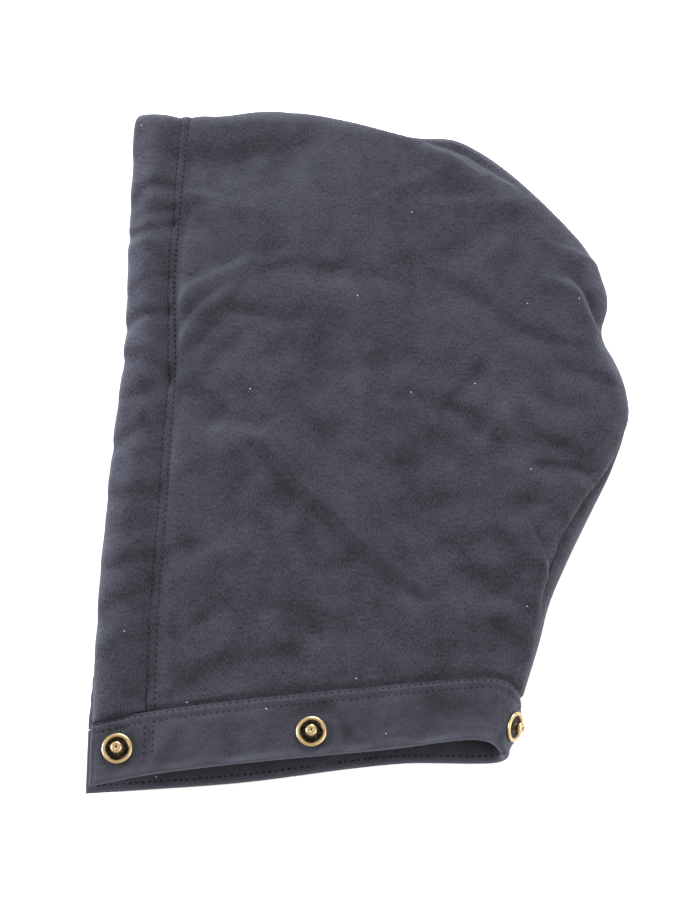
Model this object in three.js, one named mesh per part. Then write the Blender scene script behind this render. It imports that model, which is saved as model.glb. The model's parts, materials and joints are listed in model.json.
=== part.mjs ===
// A detachable hood of padded knit, lying on its right side with its snaps undone.
//
// Millimetres, +Z up. The face opening looks to -X, the crown to +Y and the neck
// opening to -Y. The origin is under the middle of the hood, on the surface it lies on.
//
// The cloth is laid out as a flat pattern and then rolled over at one fold. The
// fold's outline runs over the crown, down the back and along the end of the neck
// band. A pattern point well inside the outline lies on the near or the far side.
// One closer to it, or past it, is wrapped round an elliptical roll.

import * as THREE from "three";

// Overall size, as it lies
const HOOD_DEPTH = 281; // face edge to the farthest point of the back
const HOOD_HEIGHT = 379; // lower edge of the neck band to the crown

// Cloth
const PANEL_WALL = 4.5; // shell, padding and backing of a side panel
const HEM_WIDTH = 26.5;
const HEM_THICK = 6.5; // the casing of the face opening, folded over on itself
const BAND_WIDTH = 31.7;
const BAND_THICK = 3.2;

// Air between the two sides
const FACE_SLOT = 8; // between the legs of the hem
const NECK_SLOT = 9.5; // between the two sides of the neck band
const CAVITY = 23; // between the panels, where the hood stands highest
const INNER_ROLL = 11; // inside radius of the roundest part of the fold

// Seams
const SEAM_GAP = 0.6; // between two pieces that are sewn edge to edge
const SEAT_GAP = 0.35; // between a snap and the cloth that it is pressed on

// Snaps: a ring with a post on the outside, a plain cap on the inside
const RING_RADIUS = 7.75;
const RING_TUBE = 2.4; // width of the rolled rim
const RING_HEIGHT = 1.75;
const WELL_HEIGHT = 0.6; // floor of the well inside the ring
const POST_RADIUS = 3.1; // at the bulge of its head
const POST_NECK = 2.1;
const POST_HEIGHT = 5.25; // over the cloth
const POST_FLAT = 2.2; // radius of the flat on top of the head
const CAP_RADIUS = 4.8;
const CAP_HEIGHT = 1.1;
const SNAP_PULL = 0.8; // how far a snap draws the cloth in
const PRESS_MARGIN = 1; // the flat it presses, past its ring
const PRESS_FADE = 6; // where the cloth is its own shape again, past its ring
const PRESS_REACH = 3.5; // how far off its flat a snap still presses the cloth
const SNAP_SIDES = 14;

// Folds
const FOLD_DEPTH = 2.4;
const FOLD_WIDTH = 11;

// Mesh steps
const PANEL_COLUMNS = 24;
const PANEL_ROWS = 26; // the hem has the same rows, so that their edges match
const CROWDING = 0.35; // how much closer the steps come toward the fold
const HEM_COLUMNS = 4; // over the flat of the hem
const BAND_ROWS = 5; // over the flat of the neck band
const BAND_TURN = 5; // columns near the fold between which the neck band has one more
const OUTLINE_STEPS = 480;
const NORMAL_STEP = 0.5;
const EDGE_ARC = [0.15, 0.45, 1]; // steps round half of a folded edge, as shares of its radius
const EDGE_LIP = 0.2; // share of the thickness that is left flat at the edge's tip

// The fold's outline. along: share of the depth, from the face edge. up: share of
// the height. roll: share of the inside radius. seam: how far the centre seam turns
// toward the near side, in quarter turns.
const OUTLINE = [
  { along: -0.020, up: 1.004, roll: 0.35, seam: 0.0 },
  { along: 0.100, up: 1.006, roll: 0.35, seam: 0.0 },
  { along: 0.210, up: 1.001, roll: 0.40, seam: 0.0 },
  { along: 0.303, up: 1.009, roll: 0.50, seam: 0.0 },
  { along: 0.389, up: 1.004, roll: 0.55, seam: 0.05 },
  { along: 0.470, up: 0.992, roll: 0.60, seam: 0.15 },
  { along: 0.600, up: 0.966, roll: 0.60, seam: 0.36 },
  { along: 0.682, up: 0.961, roll: 0.55, seam: 0.40 },
  { along: 0.756, up: 0.929, roll: 0.55, seam: 0.40 },
  { along: 0.848, up: 0.864, roll: 0.65, seam: 0.30 },
  { along: 0.936, up: 0.780, roll: 0.75, seam: 0.10 },
  { along: 0.970, up: 0.708, roll: 0.70, seam: 0.0 },
  { along: 0.962, up: 0.644, roll: 0.55, seam: -0.10 },
  { along: 0.990, up: 0.579, roll: 0.70, seam: -0.10 },
  { along: 0.998, up: 0.520, roll: 0.90, seam: 0.0 },
  { along: 0.966, up: 0.450, roll: 1.00, seam: 0.20 },
  { along: 0.923, up: 0.386, roll: 0.95, seam: 0.50 },
  { along: 0.880, up: 0.323, roll: 0.85, seam: 0.60 },
  { along: 0.840, up: 0.257, roll: 0.70, seam: 0.50 },
  { along: 0.817, up: 0.198, roll: 0.50, seam: 0.40 },
  { along: 0.786, up: 0.128, roll: 0.30, seam: 0.31 },
  { along: 0.771, up: 0.086, roll: 0.30, seam: 0.31 },
  { along: 0.749, up: 0.036, roll: 0.30, seam: 0.31 },
  { along: 0.728, up: -0.010, roll: 0.30, seam: 0.31 },
];
const CROWN_CORNER = 0.848; // where along the outline the crown gives way to the back
const NAPE = 0.128; // how far up the fold the neck seam meets it
const BAND_RISE = { from: 0.098, to: 0.188 }; // how far up the cloth eases down off the posts
const BAND_LEAN = 0.6; // share of the neck seam past which the band leans with the fold

// The edge of the face opening: its distance from the front, as a share of the depth
const FACE_EDGE = [
  { up: 0.08, near: 0.014, far: 0.003 },
  { up: 0.24, near: 0.015, far: 0.011 },
  { up: 0.42, near: 0.026, far: 0.023 },
  { up: 0.52, near: 0.034, far: 0.031 },
  { up: 0.62, near: 0.045, far: 0.043 },
  { up: 0.85, near: 0.046, far: 0.045 },
  { up: 0.97, near: 0.047, far: 0.047 },
  { up: 1.05, near: 0.056, far: 0.056 },
];

// The hem's own width, drawn in where the panel pulls on it
const HEM_DRAW = [
  { up: 0.10, width: 1.00 },
  { up: 0.48, width: 0.98 },
  { up: 0.62, width: 0.87 },
  { up: 0.73, width: 0.80 },
  { up: 0.84, width: 0.87 },
  { up: 1.00, width: 1.00 },
];

// The neck seam's bow over a straight line from the front to the fold, as a share of
// the height, on each side
const NECK_FRONT = { near: 0.089, far: 0.086 };
const NECK_BOW = [
  { along: 0.00, near: 0.000, far: 0.000 },
  { along: 0.12, near: 0.010, far: 0.001 },
  { along: 0.34, near: 0.018, far: 0.004 },
  { along: 0.68, near: 0.024, far: 0.018 },
  { along: 0.88, near: 0.027, far: 0.010 },
  { along: 0.95, near: 0.021, far: 0.006 },
  { along: 1.00, near: 0.000, far: 0.000 },
];

// How high the near side stands: 0 is level with the hem, 1 the highest point
const PUFF = [
  { up: 0.08, face: 0.00, middle: 0.05, back: 0.12 },
  { up: 0.16, face: 0.00, middle: 0.42, back: 0.40 },
  { up: 0.30, face: 0.02, middle: 0.75, back: 0.55 },
  { up: 0.50, face: 0.03, middle: 1.00, back: 0.70 },
  { up: 0.70, face: 0.03, middle: 0.95, back: 0.60 },
  { up: 0.88, face: 0.03, middle: 0.60, back: 0.40 },
  { up: 1.00, face: 0.03, middle: 0.18, back: 0.15 },
];
const PUFF_FACE = 0.10;
const PUFF_BACK = 0.88;

// Dents and ridges of the near side, each along a straight line. from, to: shares of
// the depth and the height. deep, wide: shares of the fold's depth and width.
const FOLDS = [
  { name: "crown dent", from: [0.13, 0.93], to: [0.36, 0.94], deep: -0.9, wide: 1.1 },
  { name: "crown pull", from: [0.20, 0.83], to: [0.50, 0.74], deep: -0.6, wide: 0.8 },
  { name: "upper ridge", from: [0.17, 0.71], to: [0.40, 0.75], deep: 0.5, wide: 0.8 },
  { name: "upper valley", from: [0.25, 0.69], to: [0.39, 0.67], deep: -0.6, wide: 0.8 },
  { name: "cheek bulge", from: [0.20, 0.61], to: [0.28, 0.50], deep: 0.8, wide: 1.3 },
  { name: "long crease", from: [0.31, 0.48], to: [0.60, 0.27], deep: -0.9, wide: 0.8 },
  { name: "middle dent", from: [0.38, 0.35], to: [0.38, 0.23], deep: -0.8, wide: 0.9 },
  { name: "jaw dent", from: [0.30, 0.18], to: [0.39, 0.19], deep: -0.8, wide: 0.8 },
  { name: "fork", from: [0.58, 0.58], to: [0.72, 0.52], deep: -0.6, wide: 0.8 },
  { name: "fork arm", from: [0.72, 0.52], to: [0.89, 0.47], deep: -0.6, wide: 0.8 },
  { name: "upper back crease", from: [0.68, 0.72], to: [0.88, 0.63], deep: -0.6, wide: 0.8 },
  { name: "back crease", from: [0.80, 0.44], to: [0.90, 0.44], deep: -0.8, wide: 0.8 },
  { name: "back bulge", from: [0.77, 0.57], to: [0.78, 0.37], deep: 0.5, wide: 1.4 },
  { name: "broad valley", from: [0.62, 0.42], to: [0.64, 0.30], deep: -0.6, wide: 1.4 },
  { name: "nape crease", from: [0.74, 0.32], to: [0.80, 0.22], deep: -0.6, wide: 0.8 },
  { name: "nape bulge", from: [0.48, 0.19], to: [0.66, 0.19], deep: 0.4, wide: 1.3 },
];

// The snaps. along: share of the neck seam on that side. across: share of the band's width.
const SNAPS = [
  { place: "near_front", side: 1, along: 0.062, across: 0.50 },
  { place: "near_middle", side: 1, along: 0.505, across: 0.61 },
  { place: "centre_back", side: 1, along: 1.0, across: 0.50 },
  { place: "far_middle", side: -1, along: 0.505, across: 0.52 },
  { place: "far_front", side: -1, along: 0.062, across: 0.50 },
];

// Worked out
const QUARTER = Math.PI / 2;
const HEM_TOP = 2 * HEM_THICK + FACE_SLOT;
const PUFF_TOP = 2 * PANEL_WALL + CAVITY;
const BAND_LIFT = POST_HEIGHT + SEAT_GAP - SNAP_PULL; // the far posts hold the band up
const BAND_TOP = BAND_LIFT + 2 * BAND_THICK + NECK_SLOT;
const xAt = (along) => (along - 0.5) * HOOD_DEPTH;
const yAt = (up) => (up - 0.5) * HOOD_HEIGHT;
const alongOf = (x) => x / HOOD_DEPTH + 0.5;
const upOf = (y) => y / HOOD_HEIGHT + 0.5;
const mix = THREE.MathUtils.lerp;
const ease = THREE.MathUtils.smoothstep;

// Reads one column of a table between its rows, as a smooth curve.
function readTable(rows, key, column, at) {
  const last = rows.length - 1;
  if (at <= rows[0][key]) return rows[0][column];
  if (at >= rows[last][key]) return rows[last][column];
  const i = rows.findIndex((row) => row[key] > at) - 1;
  const slope = (k) => {
    const before = rows[Math.max(k - 1, 0)];
    const after = rows[Math.min(k + 1, last)];
    return (after[column] - before[column]) / (after[key] - before[key]);
  };
  const span = rows[i + 1][key] - rows[i][key];
  const t = (at - rows[i][key]) / span;
  const rise = rows[i + 1][column] - rows[i][column];
  const start = slope(i) * span;
  const end = slope(i + 1) * span;
  const curve = t * (1 - t) * (start * (1 - t) - end * t + rise * (2 * t - 1));
  return rows[i][column] + t * rise + curve;
}

// The outline as evenly spaced points, each with its outward normal and its roll.
function sampleOutline() {
  const knots = OUTLINE.map((row) => new THREE.Vector2(xAt(row.along), yAt(row.up)));
  const curve = new THREE.SplineCurve(knots);
  const samples = [];
  for (let i = 0; i <= OUTLINE_STEPS; i += 1) {
    const t = curve.getUtoTmapping(i / OUTLINE_STEPS);
    const place = curve.getPoint(t);
    const tangent = curve.getTangent(t);
    const row = t * (OUTLINE.length - 1);
    const before = OUTLINE[Math.floor(row)];
    const after = OUTLINE[Math.min(Math.floor(row) + 1, OUTLINE.length - 1)];
    const part = row - Math.floor(row);
    samples.push({
      place,
      normal: new THREE.Vector2(-tangent.y, tangent.x),
      roll: HEM_THICK + INNER_ROLL * mix(before.roll, after.roll, part),
      seam: mix(before.seam, after.seam, part),
    });
  }
  return samples;
}

const outline = sampleOutline();

// The outline's nearest point to a pattern point, and how far inside the point is.
function footOf(x, y) {
  const point = new THREE.Vector2(x, y);
  let best = 0;
  let least = Infinity;
  outline.forEach((sample, i) => {
    const away = sample.place.distanceToSquared(point);
    if (away < least) {
      least = away;
      best = i;
    }
  });
  const other = [best - 1, best + 1]
    .filter((i) => i >= 0 && i < outline.length)
    .sort((a, b) => outline[a].place.distanceTo(point) - outline[b].place.distanceTo(point))[0];
  const from = outline[best];
  const to = outline[other];
  const leg = to.place.clone().sub(from.place);
  const reach = point.clone().sub(from.place).dot(leg) / leg.lengthSq();
  const part = THREE.MathUtils.clamp(reach, 0, 1);
  const place = from.place.clone().lerp(to.place, part);
  const normal = from.normal.clone().lerp(to.normal, part).normalize();
  return {
    place,
    normal,
    roll: mix(from.roll, to.roll, part),
    inside: place.clone().sub(point).dot(normal),
  };
}

// How far the near side and the far side stand over the surface at a place.
function heightsAt(x, y) {
  const along = alongOf(x);
  const up = upOf(y);
  const face = readTable(PUFF, "up", "face", up);
  const middle = readTable(PUFF, "up", "middle", up);
  const back = readTable(PUFF, "up", "back", up);
  const centre = (PUFF_FACE + PUFF_BACK) / 2;
  const part = (from, to) => THREE.MathUtils.clamp((along - from) / (to - from), 0, 1);
  const toMiddle = Math.sin(QUARTER * part(PUFF_FACE, centre));
  const toBack = 1 - Math.cos(QUARTER * part(centre, PUFF_BACK));
  const puff = mix(mix(face, middle, toMiddle), back, toBack);
  const band = 1 - ease(up, BAND_RISE.from, BAND_RISE.to);
  const level = mix(HEM_TOP, BAND_TOP, band);
  return {
    near: level + (PUFF_TOP - HEM_TOP) * puff,
    far: BAND_LIFT * band,
  };
}

// The roll's half height, middle height and how much cloth it takes past the outline.
function rollAt(foot) {
  const start = foot.place.clone().addScaledVector(foot.normal, -foot.roll);
  const heights = heightsAt(start.x, start.y);
  const half = (heights.near - heights.far) / 2;
  return {
    half,
    middle: heights.far + half,
    spare: (Math.PI / 4) * (foot.roll + half) - foot.roll,
  };
}

// Lays a pattern point of the near side (1) or the far side (-1) in space.
function drape(x, y, side) {
  const foot = footOf(x, y);
  if (foot.inside >= foot.roll) {
    const heights = heightsAt(x, y);
    return new THREE.Vector3(x, y, side > 0 ? heights.near : heights.far);
  }
  const roll = rollAt(foot);
  const angle = ((foot.inside + roll.spare) / (foot.roll + roll.spare)) * QUARTER;
  const inward = foot.roll * (1 - Math.cos(angle));
  const place = foot.place.clone().addScaledVector(foot.normal, -inward);
  return new THREE.Vector3(place.x, place.y, roll.middle + side * roll.half * Math.sin(angle));
}

// The cloth's outward normal there, from its slope over a short step.
function normalAt(x, y, side) {
  const step = NORMAL_STEP;
  const acrossX = drape(x + step, y, side).sub(drape(x - step, y, side));
  const acrossY = drape(x, y + step, side).sub(drape(x, y - step, side));
  return acrossX.cross(acrossY).normalize().multiplyScalar(side);
}

// Dents and ridges, which fade toward the ends of their lines.
function foldRelief(x, y) {
  return FOLDS.reduce((total, fold) => {
    const from = new THREE.Vector2(xAt(fold.from[0]), yAt(fold.from[1]));
    const line = new THREE.Vector2(xAt(fold.to[0]), yAt(fold.to[1])).sub(from);
    const point = new THREE.Vector2(x, y).sub(from);
    const along = point.dot(line) / line.lengthSq();
    const foot = line.clone().multiplyScalar(THREE.MathUtils.clamp(along, 0, 1));
    const away = point.distanceTo(foot) / (fold.wide * FOLD_WIDTH);
    return total + fold.deep * FOLD_DEPTH * Math.exp(-away * away);
  }, 0);
}

// A point of the cloth at some height over its outer face.
function clothPoint(spot, height) {
  const relief = spot.side > 0 && spot.folded ? foldRelief(spot.x, spot.y) : 0;
  const normal = normalAt(spot.x, spot.y, spot.side);
  return drape(spot.x, spot.y, spot.side).addScaledVector(normal, height + relief);
}

// The centre seam in the pattern of one side, inset from the edge of the cloth.
function seamLine(side, inset) {
  return outline.map((sample) => {
    const roll = rollAt(sample);
    const inside = sample.seam * side * (sample.roll + roll.spare) - roll.spare + inset;
    return sample.place.clone().addScaledVector(sample.normal, -inside);
  });
}

// One side's name in the tables.
const sideName = (side) => (side > 0 ? "near" : "far");

const seams = { near: seamLine(1, 0), far: seamLine(-1, 0) };
const panelSeams = { near: seamLine(1, SEAM_GAP / 2), far: seamLine(-1, SEAM_GAP / 2) };

// A point of such a line, counted in steps and parts of a step.
function onLine(line, at) {
  const i = Math.min(Math.floor(at), line.length - 2);
  return line[i].clone().lerp(line[i + 1], at - i);
}

// Where such a line first passes a distance from front to back.
function stepAtX(line, x) {
  const i = line.findIndex((place) => place.x > x);
  return i - (line[i].x - x) / (line[i].x - line[i - 1].x);
}

const crownStep = outline.findIndex((sample) => alongOf(sample.place.x) > CROWN_CORNER);
const napeStep = outline.findIndex((sample, i) => i > crownStep && upOf(sample.place.y) < NAPE);

// The neck seam from the face edge (0) to the centre seam (1).
function neckSpot(share, side) {
  const name = sideName(side);
  const frontY = yAt(NECK_FRONT[name]);
  const frontX = xAt(readTable(FACE_EDGE, "up", name, NECK_FRONT[name]));
  const end = seams[name][napeStep];
  const bow = HOOD_HEIGHT * readTable(NECK_BOW, "along", name, share);
  return { x: mix(frontX, end.x, share), y: mix(frontY, end.y, share) + bow };
}

// Where a point of the hem lies. across: 0 at the face edge, 1 at the hem's stitching.
// up: 0 at the neck seam, 1 at the centre seam.
function hemSpot(across, up, side) {
  const name = sideName(side);
  const widthAt = (y) => HEM_WIDTH * readTable(HEM_DRAW, "up", "width", upOf(y));
  const edgeAt = (y) => xAt(readTable(FACE_EDGE, "up", name, upOf(y)));
  const lowX = edgeAt(yAt(NECK_FRONT[name])) + across * widthAt(yAt(NECK_FRONT[name]));
  const frontX = neckSpot(0, side).x;
  const low = neckSpot((lowX - frontX) / (neckSpot(1, side).x - frontX), side).y;
  const topX = edgeAt(yAt(1)) + across * widthAt(yAt(1));
  const high = onLine(seams[name], stepAtX(seams[name], topX)).y;
  const y = mix(low + SEAM_GAP / 2, high, up);
  return { x: edgeAt(y) + across * widthAt(y), y, side };
}

// Shares from 0 to 1 that crowd toward 1, where the cloth turns over the fold.
function crowdedShares(count) {
  return Array.from({ length: count + 1 }, (_, i) => {
    const t = i / count;
    return t + CROWDING * t * (1 - t);
  });
}

// Where along the neck seam the panel starts, beside the hem.
function hemShare(side) {
  const start = neckSpot(0, side).x;
  return (hemSpot(1, 0, side).x + SEAM_GAP - start) / (neckSpot(1, side).x - start);
}

// The spots of a side panel, spread between its four edges: hem, neck, crown and back.
function panelSpots(side) {
  const columns = crowdedShares(PANEL_COLUMNS);
  const rows = crowdedShares(PANEL_ROWS);
  const seam = panelSeams[sideName(side)];
  const first = hemShare(side);
  const hemStep = stepAtX(seam, hemSpot(1, 1, side).x + SEAM_GAP);
  const left = (v) => {
    const spot = hemSpot(1, v, side);
    return new THREE.Vector2(spot.x + SEAM_GAP, spot.y);
  };
  const bottom = (u) => {
    const spot = neckSpot(mix(first, 1, u), side);
    return new THREE.Vector2(spot.x, spot.y + SEAM_GAP / 2);
  };
  const top = (u) => onLine(seam, mix(hemStep, crownStep, u));
  const right = (v) => onLine(seam, mix(napeStep, crownStep, v));
  const corner = { lowLeft: left(0), lowRight: right(0), highLeft: left(1), highRight: right(1) };
  return rows.map((v) =>
    columns.map((u) => {
      const spot = new THREE.Vector2()
        .addScaledVector(bottom(u), 1 - v)
        .addScaledVector(top(u), v)
        .addScaledVector(left(v), 1 - u)
        .addScaledVector(right(v), u)
        .addScaledVector(corner.lowLeft, -(1 - u) * (1 - v))
        .addScaledVector(corner.lowRight, -u * (1 - v))
        .addScaledVector(corner.highLeft, -(1 - u) * v)
        .addScaledVector(corner.highRight, -u * v);
      return { x: spot.x, y: spot.y, side, folded: true };
    }),
  );
}

// A closed solid from two grids of points, an outer face and an inner face.
function solidBetween(outer, inner) {
  const rows = outer.length;
  const columns = outer[0].length;
  const points = [...outer.flat(), ...inner.flat()];
  const half = rows * columns;
  const faces = [];
  const quad = (a, b, c, d) => faces.push(a, b, c, a, c, d);
  for (let r = 0; r + 1 < rows; r += 1) {
    for (let c = 0; c + 1 < columns; c += 1) {
      const a = r * columns + c;
      quad(a, a + 1, a + columns + 1, a + columns);
      quad(half + a, half + a + columns, half + a + columns + 1, half + a + 1);
    }
  }
  const rim = [];
  for (let c = 0; c < columns; c += 1) rim.push(c);
  for (let r = 1; r < rows; r += 1) rim.push(r * columns + columns - 1);
  for (let c = columns - 2; c >= 0; c -= 1) rim.push((rows - 1) * columns + c);
  for (let r = rows - 2; r > 0; r -= 1) rim.push(r * columns);
  rim.forEach((a, i) => {
    const b = rim[(i + 1) % rim.length];
    quad(a, half + a, half + b, b);
  });
  const geometry = new THREE.BufferGeometry().setFromPoints(points);
  geometry.setIndex(faces);
  if (signedVolume(geometry) < 0) geometry.setIndex(faces.reverse());
  return geometry;
}

// Above zero if the faces look outward.
function signedVolume(geometry) {
  const place = geometry.getAttribute("position");
  const index = geometry.getIndex();
  const corner = (i) => new THREE.Vector3().fromBufferAttribute(place, index.getX(i));
  let total = 0;
  for (let i = 0; i < index.count; i += 3) {
    total += corner(i).dot(corner(i + 1).cross(corner(i + 2)));
  }
  return total; // six times the volume, of which only the sign counts
}

// A side panel: a padded wall from the hem to the centre seam.
function sidePanel(side) {
  const spots = panelSpots(side);
  const outer = spots.map((row) => row.map((spot) => clothPoint(spot, 0)));
  const inner = spots.map((row) => row.map((spot) => clothPoint(spot, -PANEL_WALL)));
  return solidBetween(outer, inner);
}

// Steps across a strip with one rounded edge: the distance from that edge, and how much
// of the strip's thickness it has there.
function roundedSteps(width, thick, flatSteps) {
  const round = thick / 2;
  const arc = EDGE_ARC.map((share) => ({
    away: round * share,
    part: Math.sqrt(1 - (1 - share) ** 2),
  }));
  const flat = Array.from({ length: flatSteps }, (_, i) => ({
    away: mix(round, width, (i + 1) / flatSteps),
    part: 1,
  }));
  return [{ away: 0, part: EDGE_LIP }, ...arc, ...flat];
}

// The face hem: a folded casing from the near side of the neck over the crown to the far side.
function faceHem() {
  const steps = roundedSteps(HEM_WIDTH, HEM_THICK, HEM_COLUMNS);
  const shares = crowdedShares(PANEL_ROWS);
  const rowAt = (up, side) => steps.map((step) => hemSpot(step.away / HEM_WIDTH, up, side));
  const near = shares.map((up) => rowAt(up, 1));
  const far = shares.slice(0, -1).reverse().map((up) => rowAt(up, -1));
  const spots = [...near, ...far];
  const middle = -HEM_THICK / 2;
  const face = (way) =>
    spots.map((row) =>
      row.map((spot, c) => clothPoint(spot, middle + (way * steps[c].part * HEM_THICK) / 2)),
    );
  return solidBetween(face(1), face(-1));
}

// A spot of the neck band. across: 0 at the neck seam, 1 at the lower edge.
function bandSpot(share, across, side) {
  const spot = neckSpot(share, side);
  const back = outline[napeStep].normal;
  const lean = ease(share, BAND_LEAN, 1);
  const down = new THREE.Vector2(mix(0, back.y, lean), mix(-1, -back.x, lean)).normalize();
  const away = SEAM_GAP / 2 + across * BAND_WIDTH;
  return { x: spot.x + down.x * away, y: spot.y + down.y * away, side };
}

// The seat of a snap: the flat that it presses into the band, and the way it looks.
function snapSeat(snap) {
  const spot = bandSpot(snap.along, snap.across, snap.side);
  const normal = normalAt(spot.x, spot.y, snap.side);
  const centre = drape(spot.x, spot.y, snap.side).addScaledVector(normal, -SNAP_PULL);
  return { centre, normal };
}

const seats = SNAPS.map(snapSeat);

// Draws a point of the band onto the flats under the snaps. depth: below the outer face.
function pressed(point, depth) {
  return seats.reduce((place, seat) => {
    const offset = place.clone().sub(seat.centre);
    const rise = offset.dot(seat.normal) + depth;
    const away = offset.addScaledVector(seat.normal, depth - rise).length();
    const hold = 1 - ease(away, RING_RADIUS + PRESS_MARGIN, RING_RADIUS + PRESS_FADE);
    const reach = 1 - ease(Math.abs(rise), PRESS_REACH, 2 * PRESS_REACH);
    return place.clone().addScaledVector(seat.normal, -rise * hold * reach);
  }, point);
}

// The band's steps along one side: a few under the hem, then the panel's own, with more
// between them where the band turns over the fold.
function bandShares(side) {
  const first = hemShare(side);
  const panel = crowdedShares(PANEL_COLUMNS).map((u) => mix(first, 1, u));
  const turn = panel.length - 1 - BAND_TURN;
  const between = panel.slice(turn, -1).map((share, i) => (share + panel[turn + i + 1]) / 2);
  return [0, first / 3, (2 * first) / 3, ...panel, ...between].sort((a, b) => a - b);
}

// The neck band: near front, round the fold, far front.
function neckBand() {
  const steps = roundedSteps(BAND_WIDTH, BAND_THICK, BAND_ROWS).reverse();
  const rowAt = (share, side) => steps.map((step) => bandSpot(share, 1 - step.away / BAND_WIDTH, side));
  const near = bandShares(1).map((share) => rowAt(share, 1));
  const far = bandShares(-1).slice(0, -1).reverse().map((share) => rowAt(share, -1));
  const spots = [...near, ...far];
  const face = (way) =>
    spots.map((row) =>
      row.map((spot, c) => {
        const depth = (BAND_THICK * (1 - way * steps[c].part)) / 2;
        return pressed(clothPoint(spot, -depth), depth);
      }),
    );
  return solidBetween(face(1), face(-1));
}

// A snap's outer half: a rolled ring, a well and the post with its bulged head.
function snapStud() {
  const wellEdge = RING_RADIUS - RING_TUBE;
  const crest = RING_RADIUS - RING_TUBE / 2;
  const shoulder = 0.88 * RING_HEIGHT;
  const inset = 0.2 * RING_TUBE;
  const upPost = (share) => mix(WELL_HEIGHT, POST_HEIGHT, share);
  const profile = [
    [0, 0],
    [crest, 0],
    [RING_RADIUS, RING_HEIGHT / 2],
    [RING_RADIUS - inset, shoulder],
    [crest, RING_HEIGHT],
    [wellEdge + inset, shoulder],
    [wellEdge, WELL_HEIGHT],
    [POST_NECK + inset, WELL_HEIGHT],
    [POST_NECK, upPost(0.45)],
    [POST_RADIUS, upPost(0.66)],
    [POST_RADIUS, upPost(0.82)],
    [POST_FLAT, POST_HEIGHT],
    [0, POST_HEIGHT],
  ].map(([radius, height]) => new THREE.Vector2(radius, height));
  return new THREE.LatheGeometry(profile, SNAP_SIDES).rotateX(QUARTER);
}

// A snap's inner half: a shallow plain cap, with its flat back to the cloth.
function snapCap() {
  const profile = [
    [0, 0],
    [CAP_RADIUS, 0],
    [CAP_RADIUS, CAP_HEIGHT / 2],
    [CAP_RADIUS * 0.8, CAP_HEIGHT],
    [0, CAP_HEIGHT],
  ].map(([radius, height]) => new THREE.Vector2(radius, height));
  return new THREE.LatheGeometry(profile, SNAP_SIDES).rotateX(QUARTER);
}

const panelCloth = new THREE.MeshStandardMaterial({ color: 0x33343c, roughness: 0.95, metalness: 0 });
const hemCloth = new THREE.MeshStandardMaterial({ color: 0x35363e, roughness: 0.95, metalness: 0 });
const bandCloth = new THREE.MeshStandardMaterial({ color: 0x363740, roughness: 0.95, metalness: 0 });
const brass = new THREE.MeshStandardMaterial({ color: 0x9a7f52, roughness: 0.38, metalness: 1 });

const group = new THREE.Group();

function addPiece(name, geometry, material) {
  const mesh = new THREE.Mesh(geometry, material);
  mesh.name = name;
  group.add(mesh);
  return mesh;
}

// Sets a round piece on its axis, at a height over the seat.
function setOnSeat(mesh, seat, height, look) {
  mesh.position.copy(seat.centre).addScaledVector(seat.normal, height);
  mesh.quaternion.setFromUnitVectors(new THREE.Vector3(0, 0, 1), look);
}

addPiece("left_panel", sidePanel(1), panelCloth);
addPiece("right_panel", sidePanel(-1), panelCloth);
addPiece("face_hem", faceHem(), hemCloth);
addPiece("neck_band", neckBand(), bandCloth);
SNAPS.forEach((snap, i) => {
  const seat = seats[i];
  const stud = addPiece(`snap_stud_${snap.place}`, snapStud(), brass);
  setOnSeat(stud, seat, SEAT_GAP, seat.normal);
  const cap = addPiece(`snap_cap_${snap.place}`, snapCap(), brass);
  setOnSeat(cap, seat, -BAND_THICK - SEAT_GAP, seat.normal.clone().negate());
});

// Centres the hood over the origin, at rest on the surface.
const box = new THREE.Box3().setFromObject(group);
const middle = box.getCenter(new THREE.Vector3());
group.position.set(-middle.x, -middle.y, -box.min.z);

export default group;
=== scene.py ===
# %% [markdown]
# # A padded knit hood, off its jacket
#
# The hood lies on its right side. It has two quilt-soft side panels, a folded hem round
# the face, a neck band and five brass ring snaps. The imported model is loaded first,
# because it gives every piece its place and its size. All lengths below are in
# millimetres until a mesh is made, and then in metres.

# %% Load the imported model
import json
import math

import bmesh
import bpy
import numpy as np
from mathutils import Matrix, Vector


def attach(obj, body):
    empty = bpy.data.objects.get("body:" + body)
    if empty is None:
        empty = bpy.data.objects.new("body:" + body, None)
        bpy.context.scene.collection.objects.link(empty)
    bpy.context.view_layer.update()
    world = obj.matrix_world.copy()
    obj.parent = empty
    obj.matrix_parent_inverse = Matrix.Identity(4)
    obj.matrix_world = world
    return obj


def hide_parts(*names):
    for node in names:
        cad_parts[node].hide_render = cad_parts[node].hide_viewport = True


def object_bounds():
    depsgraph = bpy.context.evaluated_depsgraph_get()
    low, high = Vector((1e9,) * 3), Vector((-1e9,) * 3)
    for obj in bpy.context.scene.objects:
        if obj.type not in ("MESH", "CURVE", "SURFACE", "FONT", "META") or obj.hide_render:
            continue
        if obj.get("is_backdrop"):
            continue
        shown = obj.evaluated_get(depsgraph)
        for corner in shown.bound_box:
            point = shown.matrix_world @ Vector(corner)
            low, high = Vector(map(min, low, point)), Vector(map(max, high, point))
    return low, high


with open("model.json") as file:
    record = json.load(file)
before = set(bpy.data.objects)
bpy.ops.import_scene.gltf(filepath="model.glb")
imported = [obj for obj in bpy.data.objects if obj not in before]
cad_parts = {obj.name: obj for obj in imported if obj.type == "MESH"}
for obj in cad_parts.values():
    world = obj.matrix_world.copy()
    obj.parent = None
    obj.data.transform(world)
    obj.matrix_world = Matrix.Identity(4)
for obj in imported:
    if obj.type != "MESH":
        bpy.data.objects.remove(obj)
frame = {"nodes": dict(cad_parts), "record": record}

model_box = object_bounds()
record = frame["record"]
print("nodes:", len(frame["nodes"]), "slots:", [m["slot"] for m in record["materials"]])


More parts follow.
